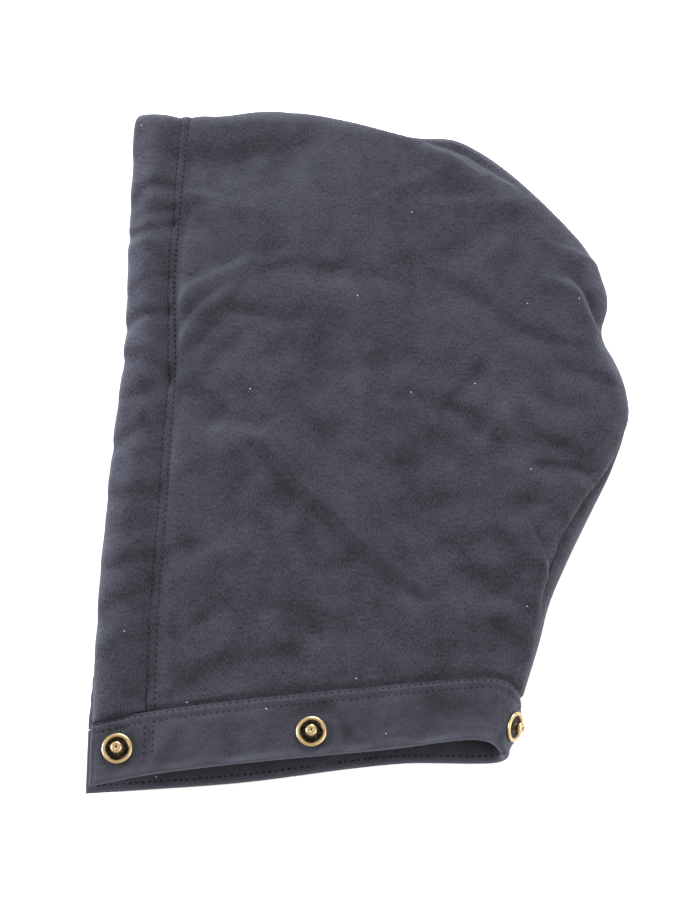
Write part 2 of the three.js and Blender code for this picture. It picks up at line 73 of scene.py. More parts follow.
# %% [markdown]
# ## Camera
#
# The hood was photographed from above its neck side, about a metre away and 70 degrees
# over the table. The angle comes from how round the snap rings look, and from how far
# their posts stand off centre. A shorter lens from nearer by would show the hood at the
# same size, but would spread its neck and narrow its crown.

# %% Camera
camera_data = bpy.data.cameras.new("camera")
camera_data.lens = 80
camera_data.sensor_width = 36
camera_data.sensor_fit = "AUTO"
camera_data.clip_start = 0.05
camera = bpy.data.objects.new("camera", camera_data)
bpy.context.collection.objects.link(camera)
CAMERA_AWAY = 1.07  # metres
aim = Vector((-0.01386, -0.00551, 0.0))
elevation = math.radians(70)
back = Vector((0.0, -math.cos(elevation), math.sin(elevation)))
camera.location = aim + CAMERA_AWAY * back
camera.rotation_mode = "QUATERNION"
camera.rotation_quaternion = (-back).to_track_quat("-Z", "Y")
bpy.context.scene.camera = camera
print("camera at", tuple(round(c, 4) for c in camera.location))


# %% [markdown]
# ## Writing shader maths
#
# A material is a tree of nodes. This small class wraps one socket, so that a sum such as
# `1 - mask` adds its own Math nodes. Every other node comes from one method.

# %% Sums on sockets
class Value:
    """A socket of a node tree, on which sums can be written."""

    def __init__(self, finish, socket):
        self.finish = finish
        self.socket = socket

    def call(self, operation, *others):
        return self.finish.maths(operation, self, *others)

    def __add__(self, other):
        return self.call("ADD", other)

    def __sub__(self, other):
        return self.call("SUBTRACT", other)

    def __rsub__(self, other):
        return self.finish.maths("SUBTRACT", other, self)

    def __mul__(self, other):
        return self.call("MULTIPLY", other)

    __radd__ = __add__
    __rmul__ = __mul__

    def clamped(self):
        return self.call("MAXIMUM", 0.0).call("MINIMUM", 1.0)


class Finish:
    """A material that is built node by node."""

    def __init__(self, name):
        self.material = bpy.data.materials.new(name)
        self.material.use_nodes = True
        self.tree = self.material.node_tree
        self.tree.nodes.clear()

    def node(self, kind, settings=None, inputs=None, output=0):
        made = self.tree.nodes.new("ShaderNode" + kind)
        for key, value in (settings or {}).items():
            setattr(made, key, value)
        for key, value in (inputs or {}).items():
            if isinstance(value, Value):
                self.tree.links.new(value.socket, made.inputs[key])
            else:
                made.inputs[key].default_value = value
        return Value(self, made.outputs[output])

    def maths(self, operation, *terms):
        return self.node("Math", {"operation": operation}, dict(enumerate(terms)))

    def noise(self, place, scale, detail, roughness=0.5, dimensions="3D"):
        inputs = {"Vector": place, "Scale": scale, "Detail": detail, "Roughness": roughness}
        return self.node("TexNoise", {"noise_dimensions": dimensions}, inputs)

    def blend(self, share, first, second):
        """Mixes two colours. share: 0 is the first, 1 the second."""
        first, second = (c if isinstance(c, Value) else (*c, 1.0) for c in (first, second))
        return self.node("Mix", {"data_type": "RGBA"}, {0: share, 6: first, 7: second}, output=2)

    def close(self, inputs):
        """Ends the tree in one Principled shader, and gives the material."""
        shader = self.node("BsdfPrincipled", {}, inputs)
        end = self.tree.nodes.new("ShaderNodeOutputMaterial")
        self.tree.links.new(shader.socket, end.inputs["Surface"])
        return self.material


print("shader helpers ready")


# %% [markdown]
# ## Floor and light
#
# The table is white and bright, so the cloth gets light from all round it. The creases
# show because some of the light comes in low. Two soft lamps, beyond the crown and at
# the left, give that light, and a weak one at the right opens the shadows. A stronger
# lamp at the left would light the long crease from both sides, and it would vanish.

# %% Floor and light
floor_bm = bmesh.new()
bmesh.ops.create_grid(floor_bm, x_segments=1, y_segments=1, size=3.0)
floor_mesh = bpy.data.meshes.new("floor")
floor_bm.to_mesh(floor_mesh)
floor_bm.free()
floor = bpy.data.objects.new("floor", floor_mesh)
bpy.context.collection.objects.link(floor)
floor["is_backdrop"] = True

table_top = Finish("white_table")
grain = table_top.node("NewGeometry", output=0)
floor_colour = table_top.blend(
    table_top.noise(grain, 3.0, 2.0), (0.93, 0.93, 0.92), (0.97, 0.965, 0.95),
)
floor_mesh.materials.append(table_top.close({"Base Color": floor_colour, "Roughness": 0.6}))

world = bpy.data.worlds.new("studio")
world.use_nodes = True
sky = world.node_tree.nodes["Background"]
sky.inputs["Color"].default_value = (1.0, 0.965, 0.88, 1.0)
sky.inputs["Strength"].default_value = 1.45
bpy.context.scene.world = world
bpy.context.scene.view_settings.view_transform = "Standard"


def add_lamp(name, place, size, power, colour):
    """A square soft lamp that looks at the middle of the hood."""
    data = bpy.data.lights.new(name, "AREA")
    data.size = size
    data.energy = power
    data.color = colour
    lamp = bpy.data.objects.new(name, data)
    bpy.context.collection.objects.link(lamp)
    lamp.location = place
    toward = Vector((0.0, 0.0, 0.02)) - Vector(place)
    lamp.rotation_mode = "QUATERNION"
    lamp.rotation_quaternion = toward.to_track_quat("-Z", "Y")


WINDOW_COLOUR = (0.90, 0.955, 1.06)
add_lamp("window_far_side", (0.30, 1.60, 0.82), 0.7, 76.0, WINDOW_COLOUR)
add_lamp("window_left", (-1.60, 0.10, 0.56), 0.7, 60.0, WINDOW_COLOUR)
add_lamp("fill_right", (0.85, -0.40, 0.58), 0.8, 13.0, (0.92, 0.955, 1.04))
print("floor, world and three lamps")


# %% [markdown]
# ## The pattern that the cloth is cut to
#
# A hood is sewn from a flat pattern. Here each panel is laid flat too, and then rolled
# over one fold that runs along the crown and down the back. That keeps the length of the
# cloth right, and the hem, the panels and the band meet on the same surface. The fold's
# line and the heights come from the model's own tables.

# %% Sizes of the pattern
DEPTH = 281.0  # face edge to back
HEIGHT = 379.0  # lower edge of the band to the crown
HEM_WIDE = 26.5
HEM_THICK = 6.5
BAND_WIDE = 31.7
BAND_THICK = 3.2
PANEL_WALL = 4.5
PANEL_LONG = 270.0  # along the neck, about, for spacing the grid
HEM_LONG = 350.0  # one leg, about
BAND_LONG = 215.0  # one side
ROLL = 11.0
SHIFT = np.array([-0.35955, -2.01210, 0.0])  # puts the origin under the hood's middle

HEM_TOP = 2 * HEM_THICK + 8.0
PUFF_TOP = 2 * PANEL_WALL + 23.0
BAND_LIFT = 4.8
BAND_TOP = BAND_LIFT + 2 * BAND_THICK + 9.5

# along, up, roll, seam
OUTLINE = np.array([
    (-0.020, 1.004, 0.35, 0.00), (0.100, 1.006, 0.35, 0.00), (0.210, 1.001, 0.40, 0.00),
    (0.303, 1.009, 0.50, 0.00), (0.389, 1.004, 0.55, 0.05), (0.470, 0.992, 0.60, 0.15),
    (0.600, 0.966, 0.60, 0.36), (0.682, 0.961, 0.55, 0.40), (0.756, 0.929, 0.55, 0.40),
    (0.848, 0.864, 0.65, 0.30), (0.936, 0.780, 0.75, 0.10), (0.970, 0.708, 0.70, 0.00),
    (0.962, 0.644, 0.55, -0.10), (0.990, 0.579, 0.70, -0.10), (0.998, 0.520, 0.90, 0.00),
    (0.966, 0.450, 1.00, 0.20), (0.923, 0.386, 0.95, 0.50), (0.880, 0.323, 0.85, 0.60),
    (0.840, 0.257, 0.70, 0.50), (0.817, 0.198, 0.50, 0.40), (0.786, 0.128, 0.30, 0.31),
    (0.771, 0.086, 0.30, 0.31), (0.749, 0.036, 0.30, 0.31), (0.728, -0.010, 0.30, 0.31),
])
# up, near, far
FACE_EDGE = np.array([
    (0.08, 0.014, 0.003), (0.24, 0.015, 0.011), (0.42, 0.026, 0.023), (0.52, 0.034, 0.031),
    (0.62, 0.045, 0.043), (0.85, 0.046, 0.045), (0.97, 0.047, 0.047), (1.05, 0.056, 0.056),
])
# up, width
HEM_DRAW = np.array([
    (0.10, 1.00), (0.48, 0.98), (0.62, 0.87), (0.73, 0.80), (0.84, 0.87), (1.00, 1.00),
])
# along, near, far
NECK_BOW = np.array([
    (0.00, 0.000, 0.000), (0.12, 0.010, 0.001), (0.34, 0.018, 0.004), (0.68, 0.024, 0.018),
    (0.88, 0.027, 0.010), (0.95, 0.021, 0.006), (1.00, 0.000, 0.000),
])
NECK_FRONT = {1: 0.089, -1: 0.086}
# up, face, middle, back
PUFF = np.array([
    (0.08, 0.00, 0.05, 0.12), (0.16, 0.00, 0.42, 0.40), (0.30, 0.02, 0.75, 0.55),
    (0.50, 0.03, 1.00, 0.70), (0.70, 0.03, 0.95, 0.60), (0.88, 0.03, 0.60, 0.40),
    (1.00, 0.03, 0.18, 0.15),
])
PUFF_FACE, PUFF_BACK = 0.10, 0.88
CROWN_CORNER, NAPE = 0.848, 0.128
RISE_FROM, RISE_TO = 0.098, 0.188
COLUMN = {1: 1, -1: 2}  # the near side's and the far side's column of a table
print("outline knots:", len(OUTLINE))


# %% [markdown]
# ## Smooth curves from short tables
#
# A hood is cut along curves that a few points settle. Each table holds such points, and
# a cubic through them gives the rest. Straight lines between the points would leave
# corners in the cloth.

# %% Reading a table as a smooth curve
def read_table(rows, column, at):
    keys, values = rows[:, 0], rows[:, column]
    at = np.clip(np.asarray(at, float), keys[0], keys[-1])
    steps = np.arange(len(keys))
    before, after = np.maximum(steps - 1, 0), np.minimum(steps + 1, len(keys) - 1)
    slope = (values[after] - values[before]) / (keys[after] - keys[before])
    i = np.clip(np.searchsorted(keys, at, side="right") - 1, 0, len(keys) - 2)
    span = keys[i + 1] - keys[i]
    t = (at - keys[i]) / span
    rise = values[i + 1] - values[i]
    bend = slope[i] * span * (1 - t) - slope[i + 1] * span * t + rise * (2 * t - 1)
    return values[i] + t * rise + t * (1 - t) * bend


def ease(at, start, end):
    t = np.clip((at - start) / (end - start), 0, 1)
    return t * t * (3 - 2 * t)


def x_at(along):
    return (along - 0.5) * DEPTH


def y_at(up):
    return (up - 0.5) * HEIGHT


def along_at(x):
    return x / DEPTH + 0.5


def up_at(y):
    return y / HEIGHT + 0.5


def bell(offset, wide):
    """1 where the offset is 0, and nearly 0 two widths away."""
    return np.exp(-((offset / wide) ** 2))


print("hem width at the cheek:", round(float(HEM_WIDE * read_table(HEM_DRAW, 1, 0.73)), 1), "mm")


# %% [markdown]
# ## The fold
#
# The crown and the back are one long fold, which draws most of the hood's outline. The
# cloth is laid by its distance from the fold, so the fold is a curve that is cut into
# even steps, each with its outward direction and its radius.

# %% The fold's outline
def outline_points(t):
    """Points of a smooth curve through the outline's knots."""
    knots = np.stack([x_at(OUTLINE[:, 0]), y_at(OUTLINE[:, 1])], axis=1)
    last = len(knots) - 1
    row = np.clip(t, 0, 1) * last
    i = np.minimum(np.floor(row).astype(int), last - 1)
    w = (row - i)[:, None]
    p0, p1 = knots[np.maximum(i - 1, 0)], knots[i]
    p2, p3 = knots[i + 1], knots[np.minimum(i + 2, last)]
    v0, v1 = (p2 - p0) / 2, (p3 - p1) / 2
    cubic = (2 * p1 - 2 * p2 + v0 + v1) * w**3
    return cubic + (-3 * p1 + 3 * p2 - 2 * v0 - v1) * w**2 + v0 * w + p1


def even_outline(steps):
    """Evenly spaced places, outward normals, rolls and seam shares."""
    coarse = np.linspace(0, 1, 201)
    legs = np.linalg.norm(np.diff(outline_points(coarse), axis=0), axis=1)
    length = np.concatenate([[0], np.cumsum(legs)])
    t = np.interp(np.linspace(0, 1, steps + 1) * length[-1], length, coarse)
    tangent = outline_points(t + 1e-4) - outline_points(t - 1e-4)
    tangent /= np.linalg.norm(tangent, axis=1)[:, None]
    row = t * (len(OUTLINE) - 1)
    numbers = np.arange(len(OUTLINE))
    roll = HEM_THICK + ROLL * np.interp(row, numbers, OUTLINE[:, 2])
    seam = np.interp(row, numbers, OUTLINE[:, 3])
    return outline_points(t), np.stack([-tangent[:, 1], tangent[:, 0]], axis=1), roll, seam


LINE, LINE_OUT, LINE_ROLL, LINE_SEAM = even_outline(480)
print("fold length:", round(float(np.linalg.norm(np.diff(LINE, axis=0), axis=1).sum())), "mm")


# %% [markdown]
# ## Rolling the cloth over the fold
#
# Away from the fold the two sides lie level, one over the other. Near it the cloth turns
# through a quarter of an ellipse on each side. A shape modelled in place would not keep
# the cloth's lengths, and the stitches and the knit would stretch.

# %% Laying the pattern in space
def nearest_step(points, line):
    """The step of a line that each point is nearest to, found a few thousand at a time."""
    return np.concatenate([
        np.argmin((part[:, :1] - line[:, 0]) ** 2 + (part[:, 1:] - line[:, 1]) ** 2, axis=1)
        for part in np.array_split(points, max(1, len(points) // 4000))
    ])


def foot_of(x, y):
    """The outline's nearest place to each pattern point, and how far inside the point is."""
    points = np.stack([x, y], axis=1)
    best = nearest_step(points, LINE)
    low, high = np.maximum(best - 1, 0), np.minimum(best + 1, len(LINE) - 1)
    to_low = np.linalg.norm(LINE[low] - points, axis=1)
    to_high = np.linalg.norm(LINE[high] - points, axis=1)
    other = np.where(best == 0, 1, np.where(best == len(LINE) - 1, best - 1,
                     np.where(to_low < to_high, low, high)))
    leg = LINE[other] - LINE[best]
    part = np.clip(((points - LINE[best]) * leg).sum(1) / (leg**2).sum(1), 0, 1)[:, None]
    place = LINE[best] + leg * part
    out = LINE_OUT[best] * (1 - part) + LINE_OUT[other] * part
    out /= np.linalg.norm(out, axis=1)[:, None]
    roll = LINE_ROLL[best] * (1 - part[:, 0]) + LINE_ROLL[other] * part[:, 0]
    return place, out, roll, ((place - points) * out).sum(1)


def heights_at(x, y):
    """How high the near and the far side stand over the table."""
    along, up = along_at(x), up_at(y)
    face, middle, behind = (read_table(PUFF, c, up) for c in (1, 2, 3))
    centre = (PUFF_FACE + PUFF_BACK) / 2
    to_middle = np.sin(np.pi / 2 * np.clip((along - PUFF_FACE) / (centre - PUFF_FACE), 0, 1))
    to_back = 1 - np.cos(np.pi / 2 * np.clip((along - centre) / (PUFF_BACK - centre), 0, 1))
    puff = face + (middle - face) * to_middle
    puff = puff + (behind - puff) * to_back
    band = 1 - ease(up, RISE_FROM, RISE_TO)
    level = HEM_TOP + (BAND_TOP - HEM_TOP) * band
    return level + (PUFF_TOP - HEM_TOP) * puff, BAND_LIFT * band


def fold_section(place, out, roll):
    """The fold there: half its height, its lowest level, and its arc's length over its radius."""
    start = place - out * roll[:, None]
    near, far = heights_at(start[:, 0], start[:, 1])
    half = (near - far) / 2
    return half, far, np.pi / 4 * (roll + half) - roll


def drape(x, y, side):
    """Lays points of the near side (1) or the far side (-1) in space."""
    place, out, roll, inside = foot_of(x, y)
    near, far = heights_at(x, y)
    flat = np.stack([x, y, near if side > 0 else far], axis=1)
    half, low, spare = fold_section(place, out, roll)
    angle = (inside + spare) / (roll + spare) * np.pi / 2
    turned = place - out * (roll * (1 - np.cos(angle)))[:, None]
    rolled = np.column_stack([turned, low + half + side * half * np.sin(angle)])
    return np.where((inside >= roll)[:, None], flat, rolled)


def normal_at(x, y, side, step=0.5):
    across_x = drape(x + step, y, side) - drape(x - step, y, side)
    across_y = drape(x, y + step, side) - drape(x, y - step, side)
    out = np.cross(across_x, across_y) * side
    return out / np.linalg.norm(out, axis=1)[:, None]


crest = drape(np.array([x_at(0.49)]), np.array([y_at(0.55)]), 1)[0]
print("highest place:", [round(float(c), 1) for c in crest])


# %% [markdown]
# ## Finding a crease on the cloth
#
# Creases were measured in the picture, in its pixels, 675 across and 900 down. The camera
# is known and so is the cloth's shape, so each end of a crease can be traced back to the
# pattern: a guess is laid in space, seen through the camera, and moved by what it misses.

# %% From a pixel to the pattern
PIXELS_WIDE, PIXELS_HIGH, PIXELS_PER_RADIAN = 675, 900, 2000.0
GUESS_ACROSS, GUESS_DOWN = 0.53, 0.56  # about how many millimetres of cloth a pixel shows
MOVE_ACROSS, MOVE_DOWN = 0.45, 0.48  # millimetres that a guess moves for a pixel's miss
camera_up = np.array([0.0, math.sin(elevation), math.cos(elevation)])


def seen_at(points):
    """The pixel at which the camera sees each point, which is in millimetres."""
    offset = (points + SHIFT) / 1000 - np.array(camera.location)
    distance = -(offset @ np.array(back))
    across = offset[:, 0] / distance * PIXELS_PER_RADIAN + PIXELS_WIDE / 2
    return across, PIXELS_HIGH / 2 - offset @ camera_up / distance * PIXELS_PER_RADIAN


def pattern_at(across, down, side=1):
    """The point of the pattern that is seen at a pixel."""
    across, down = np.asarray(across, float), np.asarray(down, float)
    x = (across - PIXELS_WIDE / 2) * GUESS_ACROSS
    y = (PIXELS_HIGH / 2 - down) * GUESS_DOWN
    for _ in range(16):
        seen = seen_at(drape(x, y, side))
        x = x + (across - seen[0]) * MOVE_ACROSS
        y = y - (down - seen[1]) * MOVE_DOWN
    return x, y


def level_spot(path, height):
    """Points of the pattern under pixels, where the cloth lies level at that height."""
    across, down = np.array(path[::2], float), np.array(path[1::2], float)
    right, up = across - PIXELS_WIDE / 2, PIXELS_HIGH / 2 - down
    aside = np.outer(right, (1, 0, 0)) + np.outer(up, camera_up)
    sight = aside / PIXELS_PER_RADIAN - np.array(back)
    reach = (height / 1000 - camera.location.z) / sight[:, 2]
    spot = (np.array(camera.location) + sight * reach[:, None]) * 1000 - SHIFT
    return spot[:, 0], spot[:, 1]


def traced(rows):
    """Rows that end in a path of pixels, with the path turned into points of the pattern."""
    return [
        (*row[:-1], np.stack(pattern_at(row[-1][::2], row[-1][1::2]), axis=1)) for row in rows
    ]


trial = pattern_at([300.0], [450.0])
print("pixel (300, 450) is at", [round(float(c[0]), 1) for c in trial], "mm of the pattern")


# %% [markdown]
# ## Where the pieces meet
#
# The side panels meet in a centre seam, and the hem and the band are sewn to them. All
# four take their edges from the functions below. Edges drawn piece by piece would drift
# apart along the curves.

# %% The seams
def seam_line(side, inset):
    """The centre seam in the pattern of one side, inset from the cloth's edge."""
    _, _, spare = fold_section(LINE, LINE_OUT, LINE_ROLL)
    inside = LINE_SEAM * side * (LINE_ROLL + spare) - spare + inset
    return LINE - LINE_OUT * inside[:, None]


SEAM_GAP = 0.3
seams = {1: seam_line(1, 0), -1: seam_line(-1, 0)}
cloth_seams = {1: seam_line(1, 0.05), -1: seam_line(-1, 0.05)}


def on_line(line, at):
    numbers = np.arange(len(line))
    return np.stack([np.interp(at, numbers, line[:, k]) for k in (0, 1)], axis=-1)


def step_at_x(line, x):
    i = int(np.argmax(line[:, 0] > x))
    return i - (line[i, 0] - x) / (line[i, 0] - line[i - 1, 0])


crown_step = int(np.argmax(LINE[:, 0] > x_at(CROWN_CORNER)))
nape_step = crown_step + int(np.argmax(LINE[crown_step:, 1] < y_at(NAPE)))


def neck_spot(share, side):
    """The neck seam from the face edge (0) to the centre seam (1)."""
    front_y = y_at(NECK_FRONT[side])
    front_x = x_at(read_table(FACE_EDGE, COLUMN[side], NECK_FRONT[side]))
    end = seams[side][nape_step]
    bow = HEIGHT * read_table(NECK_BOW, COLUMN[side], share)
    return front_x + (end[0] - front_x) * share, front_y + (end[1] - front_y) * share + bow


def hem_spot(across, up, side):
    """Where a point of the hem lies. across: 0 face edge, 1 stitching. up: 0 neck, 1 crown."""
    across, up = np.broadcast_arrays(np.asarray(across, float), np.asarray(up, float))
    front = NECK_FRONT[side]

    def wide(y):
        return HEM_WIDE * read_table(HEM_DRAW, 1, up_at(y))

    def edge(y):
        return x_at(read_table(FACE_EDGE, COLUMN[side], up_at(y)))

    low_x = edge(y_at(front)) + across * wide(y_at(front))
    start, end = neck_spot(0.0, side), neck_spot(1.0, side)
    low = neck_spot((low_x - start[0]) / (end[0] - start[0]), side)[1]
    top_x = edge(y_at(1.0)) + across * wide(y_at(1.0))
    high = np.interp(top_x, seams[side][:nape_step, 0], seams[side][:nape_step, 1])
    y = low + SEAM_GAP + (high - low - SEAM_GAP) * up
    return edge(y) + across * wide(y), y


print("neck seam ends at", [round(float(c), 1) for c in neck_spot(1.0, 1)])


# %% [markdown]
# ## Folds, padding and the pull of the seams
#
# A padded panel is never smooth. It has a few long creases from being packed, soft lumps
# where the padding is uneven, and it sinks at every seam and stands up again beside it. A
# cloth simulation gives creases of its own choice, in places of its own choice. These
# creases have to lie where the real ones lie, so each is a line in a table, and the cloth
# is moved along its normal by the sum of them. A crease is a valley with a low ridge on
# either side, because the cloth that leaves the valley has to go somewhere.

# %% Uneven fields
def waves(x, y, seed, shortest, longest, count=36):
    """A smooth uneven field about -1 to 1, from waves of many directions."""
    pick = np.random.default_rng(seed)
    total = np.zeros_like(x)
    for _ in range(count):
        length = shortest * (longest / shortest) ** pick.random()
        turn = pick.random() * 2 * np.pi
        start = pick.random() * 2 * np.pi
        total += np.cos((x * np.cos(turn) + y * np.sin(turn)) * 2 * np.pi / length + start)
    return total / np.sqrt(count) * 1.2


middle = waves(np.zeros(1), np.zeros(1), 12, 38, 110)[0]
print("an uneven field at the middle:", round(float(middle), 2))


# %% [markdown]
# ## Creases and laps
#
# Each crease is a row of a table: how deep it is, how wide, and a path of pixels, across
# and down, that was read in the photo. Its steep flank lies on the path, where
# light and dark meet. A lap is where the cloth falls over itself and makes a step.

# %% Creases of the near panel
FOLD_DEPTH, FOLD_WIDE = 3.1, 13.0
LIGHT_FROM = np.array([math.cos(math.radians(115)), math.sin(math.radians(115))])
# deep, wide, path
CREASES = traced([
    (-0.9, 0.80, (200, 148, 240, 146, 285, 139)),
    (0.5, 0.28, (188, 186, 225, 196, 246, 203)), (-0.6, 0.25, (176, 192, 198, 200)),
    (-0.7, 0.50, (190, 206, 212, 226, 234, 248, 266, 243)),
    (0.8, 0.40, (181, 296, 206, 274, 238, 259, 268, 256)),
    (-0.9, 0.34, (268, 262, 310, 261, 350, 262, 376, 274)),
    (0.15, 0.80, (262, 276, 330, 283)), (-0.7, 0.22, (180, 314, 206, 295)),
    (1.0, 0.26, (177, 340, 190, 316, 222, 293)),
    (-0.8, 0.34, (196, 340, 210, 316, 226, 301, 262, 309, 304, 313)),
    (-0.5, 0.36, (205, 370, 234, 330)), (-1.1, 0.40, (186, 385, 206, 392, 218, 408)),
    (-0.6, 0.26, (224, 407, 243, 420)), (0.5, 0.95, (200, 430, 232, 438, 262, 438)),
    (-1.3, 0.90, (290, 356, 300, 410, 312, 456)), (-0.5, 0.42, (350, 356, 398, 352)),
    (0.4, 0.28, (382, 193, 404, 180, 432, 169)), (-0.4, 0.32, (400, 193, 438, 178)),
    (0.5, 0.34, (440, 200, 530, 202)), (-0.6, 0.38, (450, 243, 494, 219)),
    (-0.7, 0.42, (511, 224, 508, 258)), (0.7, 0.22, (555, 244, 575, 252, 592, 266)),
    (1.0, 0.34, (436, 149, 464, 159, 490, 175, 512, 190)),
    (-0.8, 0.36, (446, 140, 476, 151, 502, 171)),
    (0.9, 0.34, (570, 285, 580, 293, 588, 312)), (-0.7, 0.42, (592, 296, 600, 318, 603, 336)),
    (-0.4, 0.24, (556, 254, 588, 274)), (-0.6, 0.36, (448, 282, 474, 294)),
    (-0.9, 0.30, (488, 303, 514, 318, 546, 338, 576, 344)),
    (-0.8, 0.32, (570, 363, 612, 381)), (-1.0, 0.27, (412, 384, 445, 402, 482, 421)),
    (-0.9, 0.28, (447, 402, 460, 382, 476, 368)), (0.6, 0.80, (460, 396, 505, 400)),
    (-0.6, 0.32, (545, 394, 573, 401)), (-0.5, 0.20, (484, 431, 507, 450)),
    (-1.2, 0.30, (538, 434, 560, 443, 583, 453)), (-1.3, 0.25, (544, 461, 592, 468)),
    (-1.1, 0.26, (528, 502, 546, 503, 559, 514)), (-0.6, 1.20, (412, 452, 430, 510, 450, 576)),
    (0.6, 1.20, (486, 440, 480, 500, 482, 555)), (-1.3, 0.36, (468, 567, 490, 569, 506, 577)),
    (-1.0, 0.30, (498, 531, 514, 546, 527, 564)), (-1.0, 0.30, (503, 589, 520, 599, 540, 607)),
    (-1.1, 0.46, (498, 624, 528, 641)), (-0.5, 0.32, (468, 644, 494, 652)),
    (-0.8, 0.70, (286, 515, 298, 545, 303, 580, 305, 616)),
    (-0.5, 0.26, (318, 561, 348, 557)),
    (-0.6, 0.30, (270, 603, 303, 611, 346, 621)),
    (-0.9, 0.40, (240, 657, 266, 653, 286, 648)), (-0.7, 0.32, (199, 616, 217, 600)),
    (-0.6, 0.34, (164, 551, 187, 544)), (-0.7, 0.46, (210, 466, 226, 490, 242, 514)),
    (0.5, 0.38, (184, 656, 218, 645)), (0.5, 0.42, (193, 561, 224, 544)),
    (-0.6, 0.42, (172, 691, 204, 669)), (-0.6, 0.80, (396, 474, 402, 545)),
    (-0.5, 0.18, (339, 673, 336, 690)), (-0.4, 0.36, (378, 665, 398, 675)),
    (0.5, 0.60, (428, 602, 482, 612)),
])


def by_path(x, y, path):
    """How far points lie beyond a path's ends, and how far to its right."""
    nearest = np.full_like(x, np.inf)
    beyond, right = np.zeros_like(x), np.zeros_like(x)
    for i, (start, end) in enumerate(zip(path, path[1:])):
        length = np.hypot(*(end - start))
        line = (end - start) / length
        run = (x - start[0]) * line[0] + (y - start[1]) * line[1]
        off = (x - start[0]) * line[1] - (y - start[1]) * line[0]
        over = np.maximum(np.maximum(-run, run - length), 0)
        away = np.hypot(off, over)
        outside = ((i == 0) & (run < 0)) | ((i == len(path) - 2) & (run > length))
        nearer = away < nearest
        nearest = np.where(nearer, away, nearest)
        right = np.where(nearer, np.where(outside, off, np.copysign(away, off)), right)
        beyond = np.where(nearer, np.where(outside, over, 0), beyond)
    return beyond, right


def crease_relief(x, y, rows):
    """Valleys and ridges with one steep flank, which lies on the drawn path."""
    stray = waves(x, y, 91, 22, 60), waves(x, y, 92, 22, 60)
    x, y = x + 0.9 * stray[0], y + 0.9 * stray[1]
    total = np.zeros_like(x)
    for deep, wide, path in rows:
        beyond, right = by_path(x, y, path)
        line = path[-1] - path[0]
        to_light = right * np.sign(line[1] * LIGHT_FROM[0] - line[0] * LIGHT_FROM[1])
        across = to_light / (wide * FOLD_WIDE) + 0.7
        across = np.where(across > 0, across, across / 2.2)
        end = beyond / (1.3 * wide * FOLD_WIDE + 2)
        total += deep * FOLD_DEPTH * (wide / 0.4) ** 0.8 * np.exp(-(across**2) - end**2)
    return total * (1 + 0.2 * stray[0])


# Places where the cloth laps over itself. Going along the path, its left side lies on top.
# high, reach, soft, path
LAPS = traced([
    (1.7, 7.0, 0.9, (601, 334, 595, 320, 588, 304, 580, 289, 572, 282)),
    (0.9, 6.5, 1.3, (508, 184, 488, 170, 466, 156, 434, 146)),
    (1.1, 6.5, 0.7, (545, 630, 550, 592, 544, 560, 529, 527)),
    (2.5, 15.0, 1.6, (258, 444, 290, 480, 330, 514, 362, 547, 424, 594)),
])


def lap_relief(x, y, rows):
    total = np.zeros_like(x)
    for high, reach, soft, path in rows:
        beyond, right = by_path(x, y, path)
        step = -np.tanh((right - 0.4) / soft) * np.exp(-np.abs(right) / reach)
        total += high * step * bell(beyond, 3 + soft)
    return total


probe = crease_relief(*pattern_at([340.0], [525.0]), CREASES)
print("deepest part of the long crease:", round(float(probe[0]), 2), "mm")


# %% [markdown]
# ## What a seam does to padding
#
# A row of stitches pulls the padding down into a groove, and the cloth stands up again
# beside it. The hem puckers as well. The hem and the panel read the same functions, so
# that their edges stay level with each other.

# %% Sinking at the seams
def hem_edge_x(y, side):
    """Where the hem's stitching is, at that height."""
    up = up_at(y)
    return x_at(read_table(FACE_EDGE, COLUMN[side], up)) + HEM_WIDE * read_table(HEM_DRAW, 1, up)


def neck_y(x, side):
    """The neck seam's height at that distance from front to back."""
    share = np.linspace(0, 1, 200)
    seam_x, seam_y = neck_spot(share, side)
    return np.interp(x, seam_x, seam_y)


def seam_sink(away, deep, wide, puff, puff_at, puff_wide):
    return -deep * bell(away, wide) + puff * bell(away - puff_at, puff_wide)


def centre_seam_away(x, y, side):
    """Distance along the cloth from the centre seam."""
    place, out, roll, inside = foot_of(x, y)
    _, _, spare = fold_section(place, out, roll)
    share = LINE_SEAM[::4][nearest_step(place, LINE[::4])]
    return inside + spare - share * side * (roll + spare)


